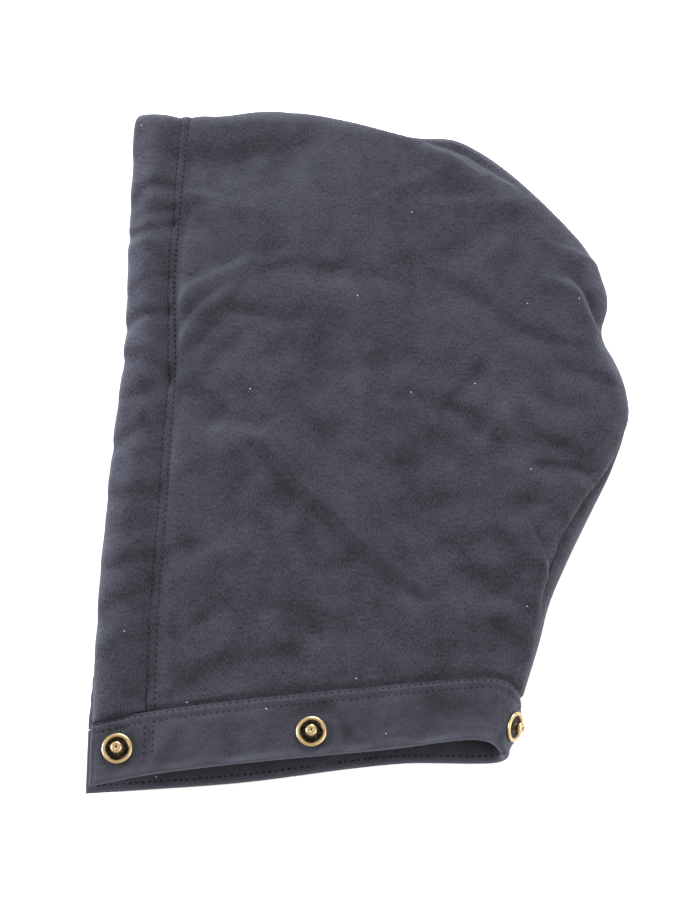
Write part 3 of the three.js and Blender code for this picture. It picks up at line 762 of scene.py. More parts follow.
HEM_SINK = 2.8
NECK_SINK = 1.4
HEM_PUCKER = 1.15
HEM_ROWS = (0.25, 4.6)  # the two rows of stitches, from the hem's inner edge
BAND_ROWS = (1.5, 5.2)  # and from the band's upper edge
HEM_CREASES = traced([
    (-1.1, 0.22, (130, 201, 142, 188, 158, 181, 174, 178)),
    (-0.8, 0.22, (138, 213, 158, 207, 174, 203)),
    (-1.2, 0.19, (127, 233, 140, 228, 156, 223, 172, 217)),
    (-0.3, 0.24, (126, 256, 150, 250)), (-0.7, 0.23, (129, 290, 144, 281, 162, 274)),
    (-1.2, 0.21, (126, 324, 138, 315, 162, 305)), (-0.9, 0.22, (121, 355, 143, 351)),
    (-0.5, 0.24, (140, 360, 165, 363)), (-0.9, 0.34, (144, 384, 166, 371)),
    (-0.5, 0.28, (117, 399, 136, 392)), (-0.8, 0.25, (117, 441, 136, 429, 158, 404)),
    (-0.4, 0.28, (122, 462, 152, 449)), (-0.6, 0.30, (110, 494, 157, 486)),
    (-0.3, 0.32, (110, 522, 141, 511)), (-0.8, 0.26, (112, 562, 140, 554)),
    (-0.6, 0.36, (103, 613, 126, 599, 146, 577)), (-0.4, 0.34, (111, 647, 143, 631)),
    (-0.4, 0.50, (110, 681, 143, 675)), (-0.5, 0.42, (134, 155, 169, 150)),
    (0.4, 0.40, (142, 340, 158, 336)), (0.4, 0.35, (128, 243, 157, 238)),
    (0.3, 0.35, (111, 545, 141, 535)), (0.3, 0.35, (111, 628, 139, 615)),
    (0.3, 0.40, (109, 475, 137, 467)),
])


def pucker(y, from_edge, side):
    """Valleys of the hem, from -1 to 0. They slant down from the stitching to the edge."""
    slant = 0.42 * (HEM_WIDE - from_edge)
    line = y + slant
    phase = line * 2 * np.pi / 11.5 + 2.4 * waves(line, 0 * y, 31 + side, 22, 70)
    strong = 0.45 + 0.75 * waves(line, 0.4 * from_edge, 41 + side, 14, 60)
    return -np.clip(strong, 0.0, 1.5) * (0.5 + 0.5 * np.cos(phase)) ** 1.6


def needle_line(from_row):
    """The narrow groove that a row of stitches pulls into the cloth."""
    return -0.38 * bell(from_row, 0.8)


def hem_folds(x, y, run, side):
    """Creases of the hem, which die out just beyond its stitching."""
    if side > 0:
        return crease_relief(x, y, HEM_CREASES)
    return HEM_PUCKER * pucker(y, np.minimum(run, HEM_WIDE), side)


def by_the_stitching(x, y, beyond, side):
    """Relief that the hem and the panel share. beyond: distance past the hem's inner edge."""
    cheek = ease(up_at(y), 0.48, 0.60) * (1 - ease(up_at(y), 0.80, 0.92))
    reach = np.where(beyond < 0, bell(beyond, 7.5), np.exp(-((beyond / 9.0) ** 4)))
    crown = 1 - 0.6 * ease(up_at(y), 0.90, 1.0)
    sink = -(HEM_SINK + 1.4 * cheek) * reach * crown
    lines = needle_line(beyond - HEM_ROWS[0]) + needle_line(beyond - HEM_ROWS[1])
    between = 0.30 * bell(beyond - 2.4, 1.3)
    fold = hem_folds(x, y, beyond + HEM_WIDE, side)
    return sink + lines + between + fold * np.where(beyond < 0, 1.0, bell(beyond, 4.5))


def panel_relief(x, y, side):
    """How far the panel stands over the even cloth, in millimetres."""
    from_hem = x - hem_edge_x(y, side)
    from_neck = y - neck_y(x, side)
    from_seam = centre_seam_away(x, y, side)
    relief = 0.32 * waves(x, y, 11 + side, 38, 110) + 0.07 * waves(x, y, 21 + side, 9, 20)
    if side > 0:
        relief = relief + crease_relief(x, y, CREASES)
    inside = np.minimum(ease(from_hem, 3.5, 9.0), ease(from_neck, 0, 7))
    relief = relief * np.minimum(inside, ease(from_seam, 0, 8))
    if side > 0:
        relief = relief + lap_relief(x, y, LAPS) * ease(from_seam, -0.5, 2.0)
    upright = ease(up_at(y), 0.52, 0.66) * (1 - ease(up_at(y), 0.82, 0.90))
    relief = relief + 0.5 * upright * bell(from_hem - 9.5, 3.2)
    relief = relief + by_the_stitching(x, y, from_hem, side)
    tug = 0.10 * np.sin(x * 2 * np.pi / 5.3 + 1.5 * waves(x, y, 5, 14, 40))
    relief = relief + tug * bell(from_neck - 4, 3.5)
    relief = relief + seam_sink(from_neck, NECK_SINK, 1.9, 0.6, 7.0, 4.5)
    low_back = 1 - 0.9 * (1 - ease(up_at(y), 0.22, 0.36)) * ease(along_at(x), 0.5, 0.6)
    relief = relief + seam_sink(from_seam, 1.5, 2.0, 0.9, 6, 4.0) * low_back
    if side < 0:
        relief = np.minimum(relief, 0.0)
    return relief


print("seam helpers ready")


# %% [markdown]
# ## From a grid to a piece of cloth
#
# Each piece starts as a flat grid. Its two directions are shares of the pattern, and a
# function puts every point in its place. A panel then gets its wall from Solidify, from
# its outer face inward. The hem and the band are tubes: their grid goes once round the
# folded edge, and its first and last column are merged.

# %% Grid helpers
def crowded(count, length, fine_low, fine_high, reach=5.0):
    """Shares from 0 to 1 that lie closer together near the ends that ask for it."""
    s = np.linspace(0, length, 2000)
    density = 1 + fine_low * bell(s, reach) + fine_high * bell(length - s, reach)
    total = np.concatenate([[0], np.cumsum((density[1:] + density[:-1]) / 2)])
    return np.interp(np.linspace(0, 1, count + 1) * total[-1], total, s / length)


def cloth_grid(name, across, along, lay, flip=False, tube=False):
    """A grid whose points are laid by lay(across, along): place, cloth coordinates, and wear with
    painted edge sheen.
    """
    grid = bmesh.new()
    bmesh.ops.create_grid(grid, x_segments=len(across) - 1, y_segments=len(along) - 1, size=0.5)
    mesh = bpy.data.meshes.new(name)
    grid.to_mesh(mesh)
    flat = np.empty(len(mesh.vertices) * 3)
    mesh.vertices.foreach_get("co", flat)
    u, v = (flat.reshape(-1, 3)[:, :2] + 0.5).T
    column = np.rint(u * (len(across) - 1)).astype(int)
    row = np.rint(v * (len(along) - 1)).astype(int)
    places, cloth, wear_and_edge_sheen = lay(np.asarray(across)[column], np.asarray(along)[row])
    places[:, 2] = np.maximum(places[:, 2], 0.0)
    mesh.vertices.foreach_set("co", ((places + SHIFT) / 1000).ravel())
    layer = mesh.uv_layers.new(name="cloth")
    corner = np.empty(len(mesh.loops), dtype=np.int32)
    mesh.loops.foreach_get("vertex_index", corner)
    layer.data.foreach_set("uv", (cloth[corner] / 1000).ravel())
    mesh.attributes.new("wear_and_edge_sheen", "FLOAT", "POINT").data.foreach_set("value", wear_and_edge_sheen)
    mesh.update()
    grid.clear()
    grid.from_mesh(mesh)
    if tube:
        bmesh.ops.remove_doubles(grid, verts=grid.verts, dist=1e-6)
        bmesh.ops.holes_fill(grid, edges=[e for e in grid.edges if e.is_boundary], sides=0)
        bmesh.ops.recalc_face_normals(grid, faces=grid.faces)
    elif flip:
        bmesh.ops.reverse_faces(grid, faces=grid.faces)
    for edge in grid.edges:
        edge.smooth = not edge.is_boundary and edge.calc_face_angle(0.0) < math.radians(50)
    for face in grid.faces:
        face.smooth = True
    grid.to_mesh(mesh)
    grid.free()
    piece = bpy.data.objects.new(name, mesh)
    bpy.context.collection.objects.link(piece)
    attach(piece, "root")
    return piece


def thicken(piece, wall):
    solid = piece.modifiers.new("wall", "SOLIDIFY")
    solid.thickness = wall / 1000
    solid.offset = -1.0
    solid.use_even_offset = False


def fold_wear_and_edge_sheen(x, y):
    """1 on the fold along the crown and the back, fading in a few millimetres of what is seen. It
    is wear, and painted sheen where the fold turns away.
    """
    place, out, roll, inside = foot_of(x, y)
    _, _, spare = fold_section(place, out, roll)
    angle = np.clip((inside + spare) / (roll + spare), -1, 1) * np.pi / 2
    seen = np.where(inside >= roll, inside, roll * (1 - np.cos(angle)))
    # Wider at the upper back, where the painted edge sheen spreads further
    wider = ease(along_at(x), 0.55, 0.75) * ease(up_at(y), 0.55, 0.75)
    return np.exp(-seen / (3.6 + 5.0 * wider))


def on_cloth(x, y, side, height):
    return drape(x, y, side) + normal_at(x, y, side) * np.asarray(height)[:, None]


first_step = crowded(200, HEM_LONG, 3, 0)[1] * HEM_LONG
print("a crowded edge starts with steps of", round(float(first_step), 2), "mm")


# %% [markdown]
# ## The side panels
#
# Each panel is one piece of padded knit between the hem, the neck, the crown and the
# back. It is spread between these four edges, and then laid, creased and given its wall.
# A sculpted mesh could look the same, but its edges would not follow the seams.

# %% Side panels
HEM_REACH = 1.012  # the hem's inner edge, where the panel meets it, in hem widths


def panel_spot(u, v, side):
    """A pattern point of a panel, spread between its hem, neck, crown and back edges."""
    seam = cloth_seams[side]
    front, end = neck_spot(0.0, side)[0], neck_spot(1.0, side)[0]
    first = (hem_spot(1.0, 0.0, side)[0] + SEAM_GAP - front) / (end - front)
    hem_step = step_at_x(seam, float(hem_spot(1.0, 1.0, side)[0]) + SEAM_GAP)

    def left(v):
        return np.stack(hem_spot(HEM_REACH, v, side), axis=-1)

    def bottom(u):
        x, y = neck_spot(first + (1 - first) * u, side)
        return np.stack([x, y + 0.05 + 0 * x], axis=-1)

    def top(u):
        return on_line(seam, hem_step + (crown_step - hem_step) * u)

    def right(v):
        return on_line(seam, nape_step + (crown_step - nape_step) * v)

    a, b = u[:, None], v[:, None]
    zero, one = np.zeros(1), np.ones(1)
    spot = bottom(u) * (1 - b) + top(u) * b + left(v) * (1 - a) + right(v) * a
    spot = spot - left(zero) * (1 - a) * (1 - b) - right(zero) * a * (1 - b)
    return spot - left(one) * (1 - a) * b - right(one) * a * b


def even_corner(spots, reach=34, rounds=500):
    """Evens out the cells at the crown, where two edges of the grid meet in one straight seam.

    Rounds of averaging spread the cells, and the last step draws them off the seam."""
    block = spots[-reach:, -reach:].copy()
    i, j = np.meshgrid(np.arange(reach)[::-1], np.arange(reach)[::-1])
    hold = 1 - ease(np.hypot(i, j)[1:-1, 1:-1, None], reach * 0.5, reach - 2)
    for _ in range(rounds):
        middle = (block[:-2, 1:-1] + block[2:, 1:-1] + block[1:-1, :-2] + block[1:-1, 2:]) / 4
        block[1:-1, 1:-1] += (middle - block[1:-1, 1:-1]) * hold
    inward = 0.5 * i * j / np.maximum(i + j, 1) * bell(i + j, 22)
    block = block - inward[..., None] * LINE_OUT[crown_step]
    spots[-reach:, -reach:] = block
    return spots


def side_panel(name, columns, rows, side):
    across, along = crowded(columns, PANEL_LONG, 1.6, 0.8), crowded(rows, HEM_LONG, 2.2, 0.8)
    u, v = (share.ravel() for share in np.meshgrid(across, along))
    spots = even_corner(panel_spot(u, v, side).reshape(rows + 1, columns + 1, 2))

    def lay(column, row):
        spot = spots[row, column]
        x, y = spot[:, 0], spot[:, 1]
        return on_cloth(x, y, side, panel_relief(x, y, side)), spot, fold_wear_and_edge_sheen(x, y)

    panel = cloth_grid(name, np.arange(columns + 1), np.arange(rows + 1), lay, flip=side < 0)
    thicken(panel, PANEL_WALL - 0.1)
    return panel


left_panel = side_panel("near_side_panel", 172, 232, 1)
right_panel = side_panel("far_side_panel", 100, 130, -1)
for panel, node in ((left_panel, "left_panel"), (right_panel, "right_panel")):
    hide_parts(node)
print("faces of the panels:", [len(panel.data.polygons) for panel in (left_panel, right_panel)])


# %% [markdown]
# ## The face hem
#
# The hem is the panel's own edge, folded over on itself and held by two rows of
# stitches. The casing is rounded at the face, and it puckers between the stitches: small
# slanting valleys start at the stitching and run down to the edge.

# %% Face hem
def folded_section(width, thick, flat_steps, arc_steps=7):
    """Once round a folded strip: distance from its rounded edge, and side of its middle."""
    r = thick / 2
    turn = np.linspace(np.pi / 2, -np.pi / 2, arc_steps)
    flat = r + (width - r) * crowded(flat_steps, width - r, 0, 1.5, 3.0)
    away = np.concatenate([flat[::-1][:-1], r * (1 - np.cos(turn)), flat[1:], flat[-1:]])
    lift = np.concatenate([np.ones(flat_steps), np.sin(turn), -np.ones(flat_steps), [1.0]])
    return away, lift


def hem_relief(x, y, away, side):
    beyond = np.clip(away, 0, HEM_WIDE) - HEM_WIDE + 0.3
    body = np.sin(np.pi * np.clip(away / HEM_WIDE, 0, 1) ** 0.85)
    body = body * (1 - 0.75 * ease(up_at(y), 0.88, 1.0))
    relief = 3.0 * body + 0.3 * waves(y, away, 51 + side, 12, 35) * body
    return relief + by_the_stitching(x, y, beyond, side)


hem_away, hem_lift = folded_section(HEM_WIDE, HEM_THICK, 20)


def lay_hem(column, up):
    """up: 0 to 1 on the near side, then 1 to 2 down the far side."""
    column = column.astype(int)
    away, lift = hem_away[column], hem_lift[column]
    places, cloth = np.zeros((len(up), 3)), np.zeros((len(up), 2))
    wear_and_edge_sheen = np.zeros(len(up))
    for side, chosen in ((1, up <= 1), (-1, up > 1)):
        share = np.where(up <= 1, up, 2 - up)[chosen]
        across = away[chosen] / HEM_WIDE * HEM_REACH
        x, y = hem_spot(across, share, side)
        outer = hem_relief(x, y, away[chosen], side)
        round_end = np.clip(np.minimum(share * HEM_LONG / 2.5, 1), 0, 1)
        full = np.sqrt(1 - (1 - round_end) ** 2) * 0.4 + 0.6
        height = -HEM_THICK / 2 + lift[chosen] * full * HEM_THICK / 2
        height = height + np.where(lift[chosen] > 0, lift[chosen], 0) * outer
        nudge = -0.45 * hem_folds(x, y, away[chosen], side) * bell(away[chosen], 4)
        places[chosen] = on_cloth(x + nudge, y, side, height)
        cloth[chosen] = np.stack([x + np.where(lift[chosen] < 0, 60.0, 0.0), y], axis=1)
        # The face edge is paler: wear, and painted sheen of the rounded edge
        fade = 6 + 7.5 * ease(up_at(y), 0.15, 0.60)
        edge = 1.1 * bell(away[chosen], fade)
        wear_and_edge_sheen[chosen] = np.maximum(edge, fold_wear_and_edge_sheen(x, y))
    return places, cloth, wear_and_edge_sheen


one_leg = crowded(235, HEM_LONG, 1.5, 0.3)
hem_rows = np.concatenate([one_leg, 2 - one_leg[::-1][1:]])
face_hem = cloth_grid("folded_face_hem", np.arange(len(hem_away)), hem_rows, lay_hem, tube=True)
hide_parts("face_hem")
print("hem:", len(face_hem.data.polygons), "faces")


# %% [markdown]
# ## Where the snaps sit
#
# Five snaps stand along the band: two on each side, and one on the fold. Their places
# are found before the band is made, because each ring presses a flat round seat into
# the cloth.

# %% Snap places
RING_RADIUS = 7.75
SNAP_PULL = 0.8
SNAPS = {  # side, share along the neck seam, share across the band
    "near_front": (1, 0.062, 0.50), "near_middle": (1, 0.505, 0.61),
    "centre_back": (1, 1.0, 0.50), "far_middle": (-1, 0.505, 0.52),
    "far_front": (-1, 0.062, 0.50),
}


def band_spot(share, across, side):
    """A spot of the band. across: 0 at the neck seam, 1 at its lower edge."""
    x, y = neck_spot(share, side)
    out = LINE_OUT[nape_step]
    lean = ease(share, 0.6, 1.0)
    down = np.stack([out[1] * lean, -1 + (1 - out[0]) * lean], axis=-1)
    down = down / np.linalg.norm(down, axis=-1, keepdims=True)
    away = 0.3 + across * BAND_WIDE
    return x + down[..., 0] * away, y + down[..., 1] * away


seats = {}
for place, (side, along, across) in SNAPS.items():
    x, y = band_spot(np.array([along]), np.array([across]), side)
    normal = normal_at(x, y, side)[0]
    seats[place] = (drape(x, y, side)[0] - SNAP_PULL * normal, normal)
    print(place, [round(float(c), 2) for c in seats[place][0] + SHIFT])


# %% [markdown]
# ## The neck band
#
# The band is a strip of the same knit, folded double and sewn to the neck. It goes from
# the near front round the fold to the far front. It is laid like the hem, once round its
# folded lower edge, and drawn onto the seats under the snaps.

# %% Neck band
def pressed(points, depth):
    """Draws points of the band onto the flats under the snaps."""
    for centre, normal in seats.values():
        offset = points - centre
        rise = offset @ normal + depth
        flat = offset + np.outer(depth - rise, normal)
        away = np.linalg.norm(flat, axis=1)
        hold = 1 - ease(away, RING_RADIUS + 1, RING_RADIUS + 6)
        reach = 1 - ease(np.abs(rise), 3.5, 7.0)
        points = points - np.outer(rise * hold * reach, normal)
    return points


BAND_CREASES = traced([
    (-1.1, 0.18, (331, 701, 342, 714, 352, 729)), (-0.5, 0.20, (352, 731, 361, 741)),
    (0.5, 0.32, (160, 733, 152, 763)), (-0.5, 0.28, (174, 741, 163, 767)),
    (-0.5, 0.16, (149, 723, 149, 757)), (-0.5, 0.40, (226, 734, 222, 763)),
    (-0.7, 0.18, (340, 735, 342, 753)), (-0.7, 0.50, (426, 715, 418, 739)),
    (-0.5, 0.24, (443, 697, 484, 713)), (-0.4, 0.30, (269, 721, 262, 749)),
    (0.3, 0.40, (197, 715, 190, 746)), (0.3, 0.40, (381, 711, 376, 745)),
])


def band_relief(x, y, run, away, side):
    """run: millimetres along the neck from the front. away: distance from the lower edge."""
    from_top = BAND_WIDE - away
    relief = 0.3 * waves(run, away, 61 + side, 18, 55) + 0.12 * waves(run, away, 71 + side, 6, 14)
    if side > 0:
        relief = relief + crease_relief(x, y, BAND_CREASES)
    relief = relief * ease(from_top, 4, 9) * ease(away, 0, 4)
    relief = relief - NECK_SINK * bell(from_top, 1.3)
    relief = relief + needle_line(from_top - BAND_ROWS[0]) + needle_line(from_top - BAND_ROWS[1])
    relief = relief + 0.25 * bell(from_top - 3.4, 1.1)
    relief = relief + 0.35 * bell(away - 2.0, 1.6) - 0.3 * bell(away - 5.0, 1.6)
    relief = relief - 0.8 * bell(run - 1.9, 0.75)
    tug = np.sin(run * 2 * np.pi / 4.9 + 1.5 * waves(run, away, 81 + side, 12, 30))
    return relief + 0.12 * tug * bell(from_top - 7, 3)


band_away, band_lift = folded_section(BAND_WIDE, BAND_THICK, 24)


def lay_band(column, along):
    """along: 0 to 1 on the near side, then 1 to 2 back on the far side."""
    column = column.astype(int)
    away, lift = band_away[column], band_lift[column]
    places, cloth = np.zeros((len(along), 3)), np.zeros((len(along), 2))
    wear_and_edge_sheen = np.zeros(len(along))
    for side, chosen in ((1, along <= 1), (-1, along > 1)):
        share = np.where(along <= 1, along, 2 - along)[chosen]
        top = 0.25 * away[chosen] / BAND_WIDE
        x, y = band_spot(share, 1 - away[chosen] / BAND_WIDE, side)
        run = share * BAND_LONG
        outer = band_relief(x, y, run, away[chosen], side)
        round_end = np.clip(run / 1.8, 0, 1)
        full = np.sqrt(np.maximum(1 - (1 - round_end) ** 2, 0.04))
        depth = BAND_THICK / 2 * (1 - lift[chosen] * full)
        bulge = np.where(lift[chosen] > 0, lift[chosen] * full, 0) * outer
        flat = pressed(on_cloth(x, y + top, side, -depth), depth)
        fade = np.ones(len(x))
        for centre, normal in seats.values():
            near_snap = np.linalg.norm(flat - centre, axis=1)
            fade = fade * ease(near_snap, RING_RADIUS + 0.8, RING_RADIUS + 5)
        places[chosen] = flat + normal_at(x, y, side) * (bulge * fade)[:, None]
        turned = np.where(lift[chosen] < 0, 500.0, 0.0)  # the inside reads another part of the knit
        cloth[chosen] = np.stack([run * side + turned, -away[chosen]], axis=1)
        # The lower edge and the front end are paler: wear, and painted edge sheen
        edge = 0.8 * np.exp(-away[chosen] / 1.6) + 0.5 * np.exp(-run / 2.5)
        wear_and_edge_sheen[chosen] = np.maximum(edge, fold_wear_and_edge_sheen(x, y))
    return places, cloth, wear_and_edge_sheen


one_side = crowded(165, BAND_LONG, 1.5, 1.0)
band_rows = np.concatenate([one_side, 2 - one_side[::-1][1:]])
neck_band = cloth_grid(
    "folded_neck_band", np.arange(len(band_away)), band_rows, lay_band, tube=True,
)
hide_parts("neck_band")
print("band:", len(neck_band.data.polygons), "faces")


# %% [markdown]
# ## Snaps
#
# Each snap is drawn as half of its outline and spun round its axis: a rolled ring, a dark
# well, and a post with a bulged head and a small dimple. The inner half is a plain cap.
# The brass is antiqued, which leaves the recesses dark and the rim worn bright, so every
# point keeps a number for how worn it is.

# %% Spun snaps
STUD_PROFILE = [  # radius, height, wear
    (0.0, 0.0, 0.2), (6.2, 0.0, 0.2), (7.1, 0.12, 0.4), (7.6, 0.5, 0.7), (7.75, 0.95, 0.9),
    (7.6, 1.35, 1.0), (7.2, 1.66, 1.0), (6.7, 1.75, 1.0), (6.2, 1.66, 1.0), (5.8, 1.4, 0.8),
    (5.6, 1.0, 0.35), (5.45, 0.72, 0.1), (5.1, 0.6, 0.0), (4.2, 0.58, 0.0), (3.4, 0.6, 0.02),
    (2.9, 0.72, 0.1), (2.5, 1.0, 0.15), (2.2, 1.6, 0.2), (2.1, 2.3, 0.25), (2.25, 2.8, 0.4),
    (2.6, 3.2, 0.6), (2.9, 3.65, 0.85), (2.95, 4.1, 0.95), (2.85, 4.6, 1.0), (2.5, 5.0, 1.0),
    (2.2, 5.2, 1.0), (1.7, 5.25, 0.95), (1.2, 5.22, 0.9), (0.85, 5.1, 0.5), (0.6, 4.8, 0.2),
    (0.0, 4.7, 0.1),
]
CAP_PROFILE = [
    (0.0, 0.0, 0.2), (4.5, 0.0, 0.3), (4.75, 0.15, 0.6), (4.8, 0.4, 0.9), (4.6, 0.75, 1.0),
    (4.1, 0.98, 0.9), (3.2, 1.08, 0.7), (1.6, 1.1, 0.6), (0.0, 1.1, 0.6),
]


def new_piece(name, bm, node=None):
    """A smooth piece made from a bmesh, which may take the place of a node's solid."""
    for face in bm.faces:
        face.smooth = True
    mesh = bpy.data.meshes.new(name)
    bm.to_mesh(mesh)
    bm.free()
    piece = bpy.data.objects.new(name, mesh)
    bpy.context.collection.objects.link(piece)
    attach(piece, "root")
    if node:
        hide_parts(node)
    return piece


def spin_profile(name, profile, seat, look, node):
    """A closed round piece, spun from its half outline and set on its seat."""
    part = bmesh.new()
    wear = part.verts.layers.float.new("wear")
    line = []
    for radius, height, worn in profile:
        vert = part.verts.new((radius / 1000, 0.0, height / 1000))
        vert[wear] = worn
        line.append(vert)
    edges = [part.edges.new(pair) for pair in zip(line, line[1:])]
    bmesh.ops.spin(
        part, geom=line + edges, cent=(0, 0, 0), axis=(0, 0, 1), dvec=(0, 0, 0),
        angle=2 * math.pi, steps=40, use_merge=True, use_duplicate=False,
    )
    bmesh.ops.remove_doubles(part, verts=part.verts, dist=2e-6)
    bmesh.ops.recalc_face_normals(part, faces=part.faces)
    turn = Vector((0, 0, 1)).rotation_difference(Vector(look)).to_matrix().to_4x4()
    place = Matrix.Translation(Vector((seat + SHIFT) / 1000))
    bmesh.ops.transform(part, matrix=place @ turn, verts=part.verts)
    return new_piece(name, part, node)


SNAP_LIFT = 0.35  # the play between a snap half and the cloth
snap_pieces = []
for place, (centre, normal) in seats.items():
    above = centre + SNAP_LIFT * normal
    behind = centre - (BAND_THICK + SNAP_LIFT) * normal
    for half, profile, seat, look in (
        ("stud", STUD_PROFILE, above, normal), ("cap", CAP_PROFILE, behind, -normal),
    ):
        snap_pieces.append(
            spin_profile(f"{half}_{place}", profile, seat, look, f"snap_{half}_{place}")
        )
print("snap halves:", len(snap_pieces), "with", len(snap_pieces[0].data.polygons), "faces a stud")


# %% [markdown]
# ## Stitches
#
# The rows of lockstitch are what holds the hem and the band, and they are plain to see.
# Each stitch is a short bead of thread, sunk between two needle holes. A row is a line in
# the pattern, walked in even steps.

# %% Rows of stitches
THREAD_WIDE, THREAD_HIGH, THREAD_LONG, THREAD_PITCH = 1.25, 0.9, 1.9, 3.2
BATCH = 24  # a small mesh takes a new bead much faster than a large one


def sew(bm, points, normals, sink=0.08):
    """Sets one bead of thread after another along a line that lies on the cloth."""
    batch = bmesh.new()
    pick = np.random.default_rng(len(bm.verts) + 7)
    legs = np.linalg.norm(np.diff(points, axis=0), axis=1)
    length = np.concatenate([[0], np.cumsum(legs)])
    count = int(length[-1] / THREAD_PITCH)
    for i in range(count):
        s = (i + 0.5 + 0.16 * (pick.random() - 0.5)) * THREAD_PITCH
        at, ahead, up = (
            np.array([np.interp(v, length, rows[:, k]) for k in range(3)])
            for v, rows in ((s, points), (s + 0.3, points), (s, normals))
        )
        run = (ahead - at) / np.linalg.norm(ahead - at)
        side_way = np.cross(up, run)
        side_way /= np.linalg.norm(side_way)
        up = np.cross(run, side_way)
        centre = (at + SHIFT - sink * up) / 1000
        turn = Matrix(np.column_stack([run, side_way, up]).tolist()).to_4x4()
        fat = 0.8 + 0.4 * pick.random()
        size = Matrix.Diagonal(
            (THREAD_LONG / 1000, THREAD_WIDE * fat / 1000, THREAD_HIGH / 1000, 1.0)
        )
        bmesh.ops.create_uvsphere(
            batch, u_segments=6, v_segments=5, radius=0.5,
            matrix=Matrix.Translation(Vector(centre)) @ turn @ size,
        )
        if i % BATCH == BATCH - 1 or i == count - 1:
            held = bpy.data.meshes.new("batch")
            batch.to_mesh(held)
            bm.from_mesh(held)
            bpy.data.meshes.remove(held)
            batch.clear()
    batch.free()
    return count


def row_on(x, y, side, height):
    return on_cloth(x, y, side, height), normal_at(x, y, side)


def hem_row(beyond, side):
    """A row of stitches beside the hem's inner edge."""
    share = np.linspace(0.004, 0.998, 700)
    x, y = hem_spot(1 + beyond / HEM_WIDE, share, side)
    return row_on(x, y, side, panel_relief(x, y, side))


def band_row(from_top, side):
    share = np.linspace(0.008, 1.0, 700)
    x, y = band_spot(share, np.full_like(share, from_top / BAND_WIDE), side)
    away = np.full_like(share, BAND_WIDE - from_top)
    return row_on(x, y, side, band_relief(x, y, share * BAND_LONG, away, side))


def inner_band_row(away, side):
    share = np.linspace(0.02, 1.0, 500)
    x, y = band_spot(share, np.full_like(share, 1 - away / BAND_WIDE), side)
    points, normals = row_on(x, y, side, np.full_like(x, -BAND_THICK))
    return points, -normals


INNER_ROW = 3.6  # from the band's lower edge, on its inside
hem_thread, band_thread, seam_thread = bmesh.new(), bmesh.new(), bmesh.new()
sewn = 0
for side in (1, -1):
    for beyond in HEM_ROWS:
        sewn += sew(hem_thread, *hem_row(beyond, side))
    for from_top in BAND_ROWS:
        sewn += sew(band_thread, *band_row(from_top, side))
    sewn += sew(band_thread, *inner_band_row(INNER_ROW, side))
# The hem's two rows run on under the band, and show through it near the front
for beyond in HEM_ROWS:
    across = np.linspace(0.2, 0.72, 60)
    foot = float(hem_spot(1 + beyond / HEM_WIDE, 0.0, 1)[0])
    row_y = neck_y(foot, 1) - across * BAND_WIDE
    row_x = np.full_like(row_y, foot)
    run = row_x - neck_spot(0.0, 1)[0]
    height = band_relief(row_x, row_y, run, (1 - across) * BAND_WIDE, 1)
    sewn += sew(band_thread, *row_on(row_x, row_y, 1, height), sink=0.2)
# The topstitch of the centre seam, where it shows low on the near side
TOPSTITCH_PATH = (546, 620, 551, 592, 553, 547, 558, 540, 570, 528, 589, 504, 598, 491)  # pixels
TOPSTITCH_HIGH = 26.0  # how high the cloth lies there, about
stitch_x, stitch_y = level_spot(TOPSTITCH_PATH, TOPSTITCH_HIGH)
steps, numbers = np.linspace(0, len(stitch_x) - 1, 60), np.arange(len(stitch_x))
row_x, row_y = np.interp(steps, numbers, stitch_x), np.interp(steps, numbers, stitch_y)
sewn += sew(seam_thread, *row_on(row_x, row_y, 1, panel_relief(row_x, row_y, 1)), sink=0.3)
thread_pieces = [
    new_piece("hem_stitches", hem_thread),
    new_piece("band_stitches", band_thread),
    new_piece("seam_topstitch", seam_thread),
]
print("stitches:", sewn)
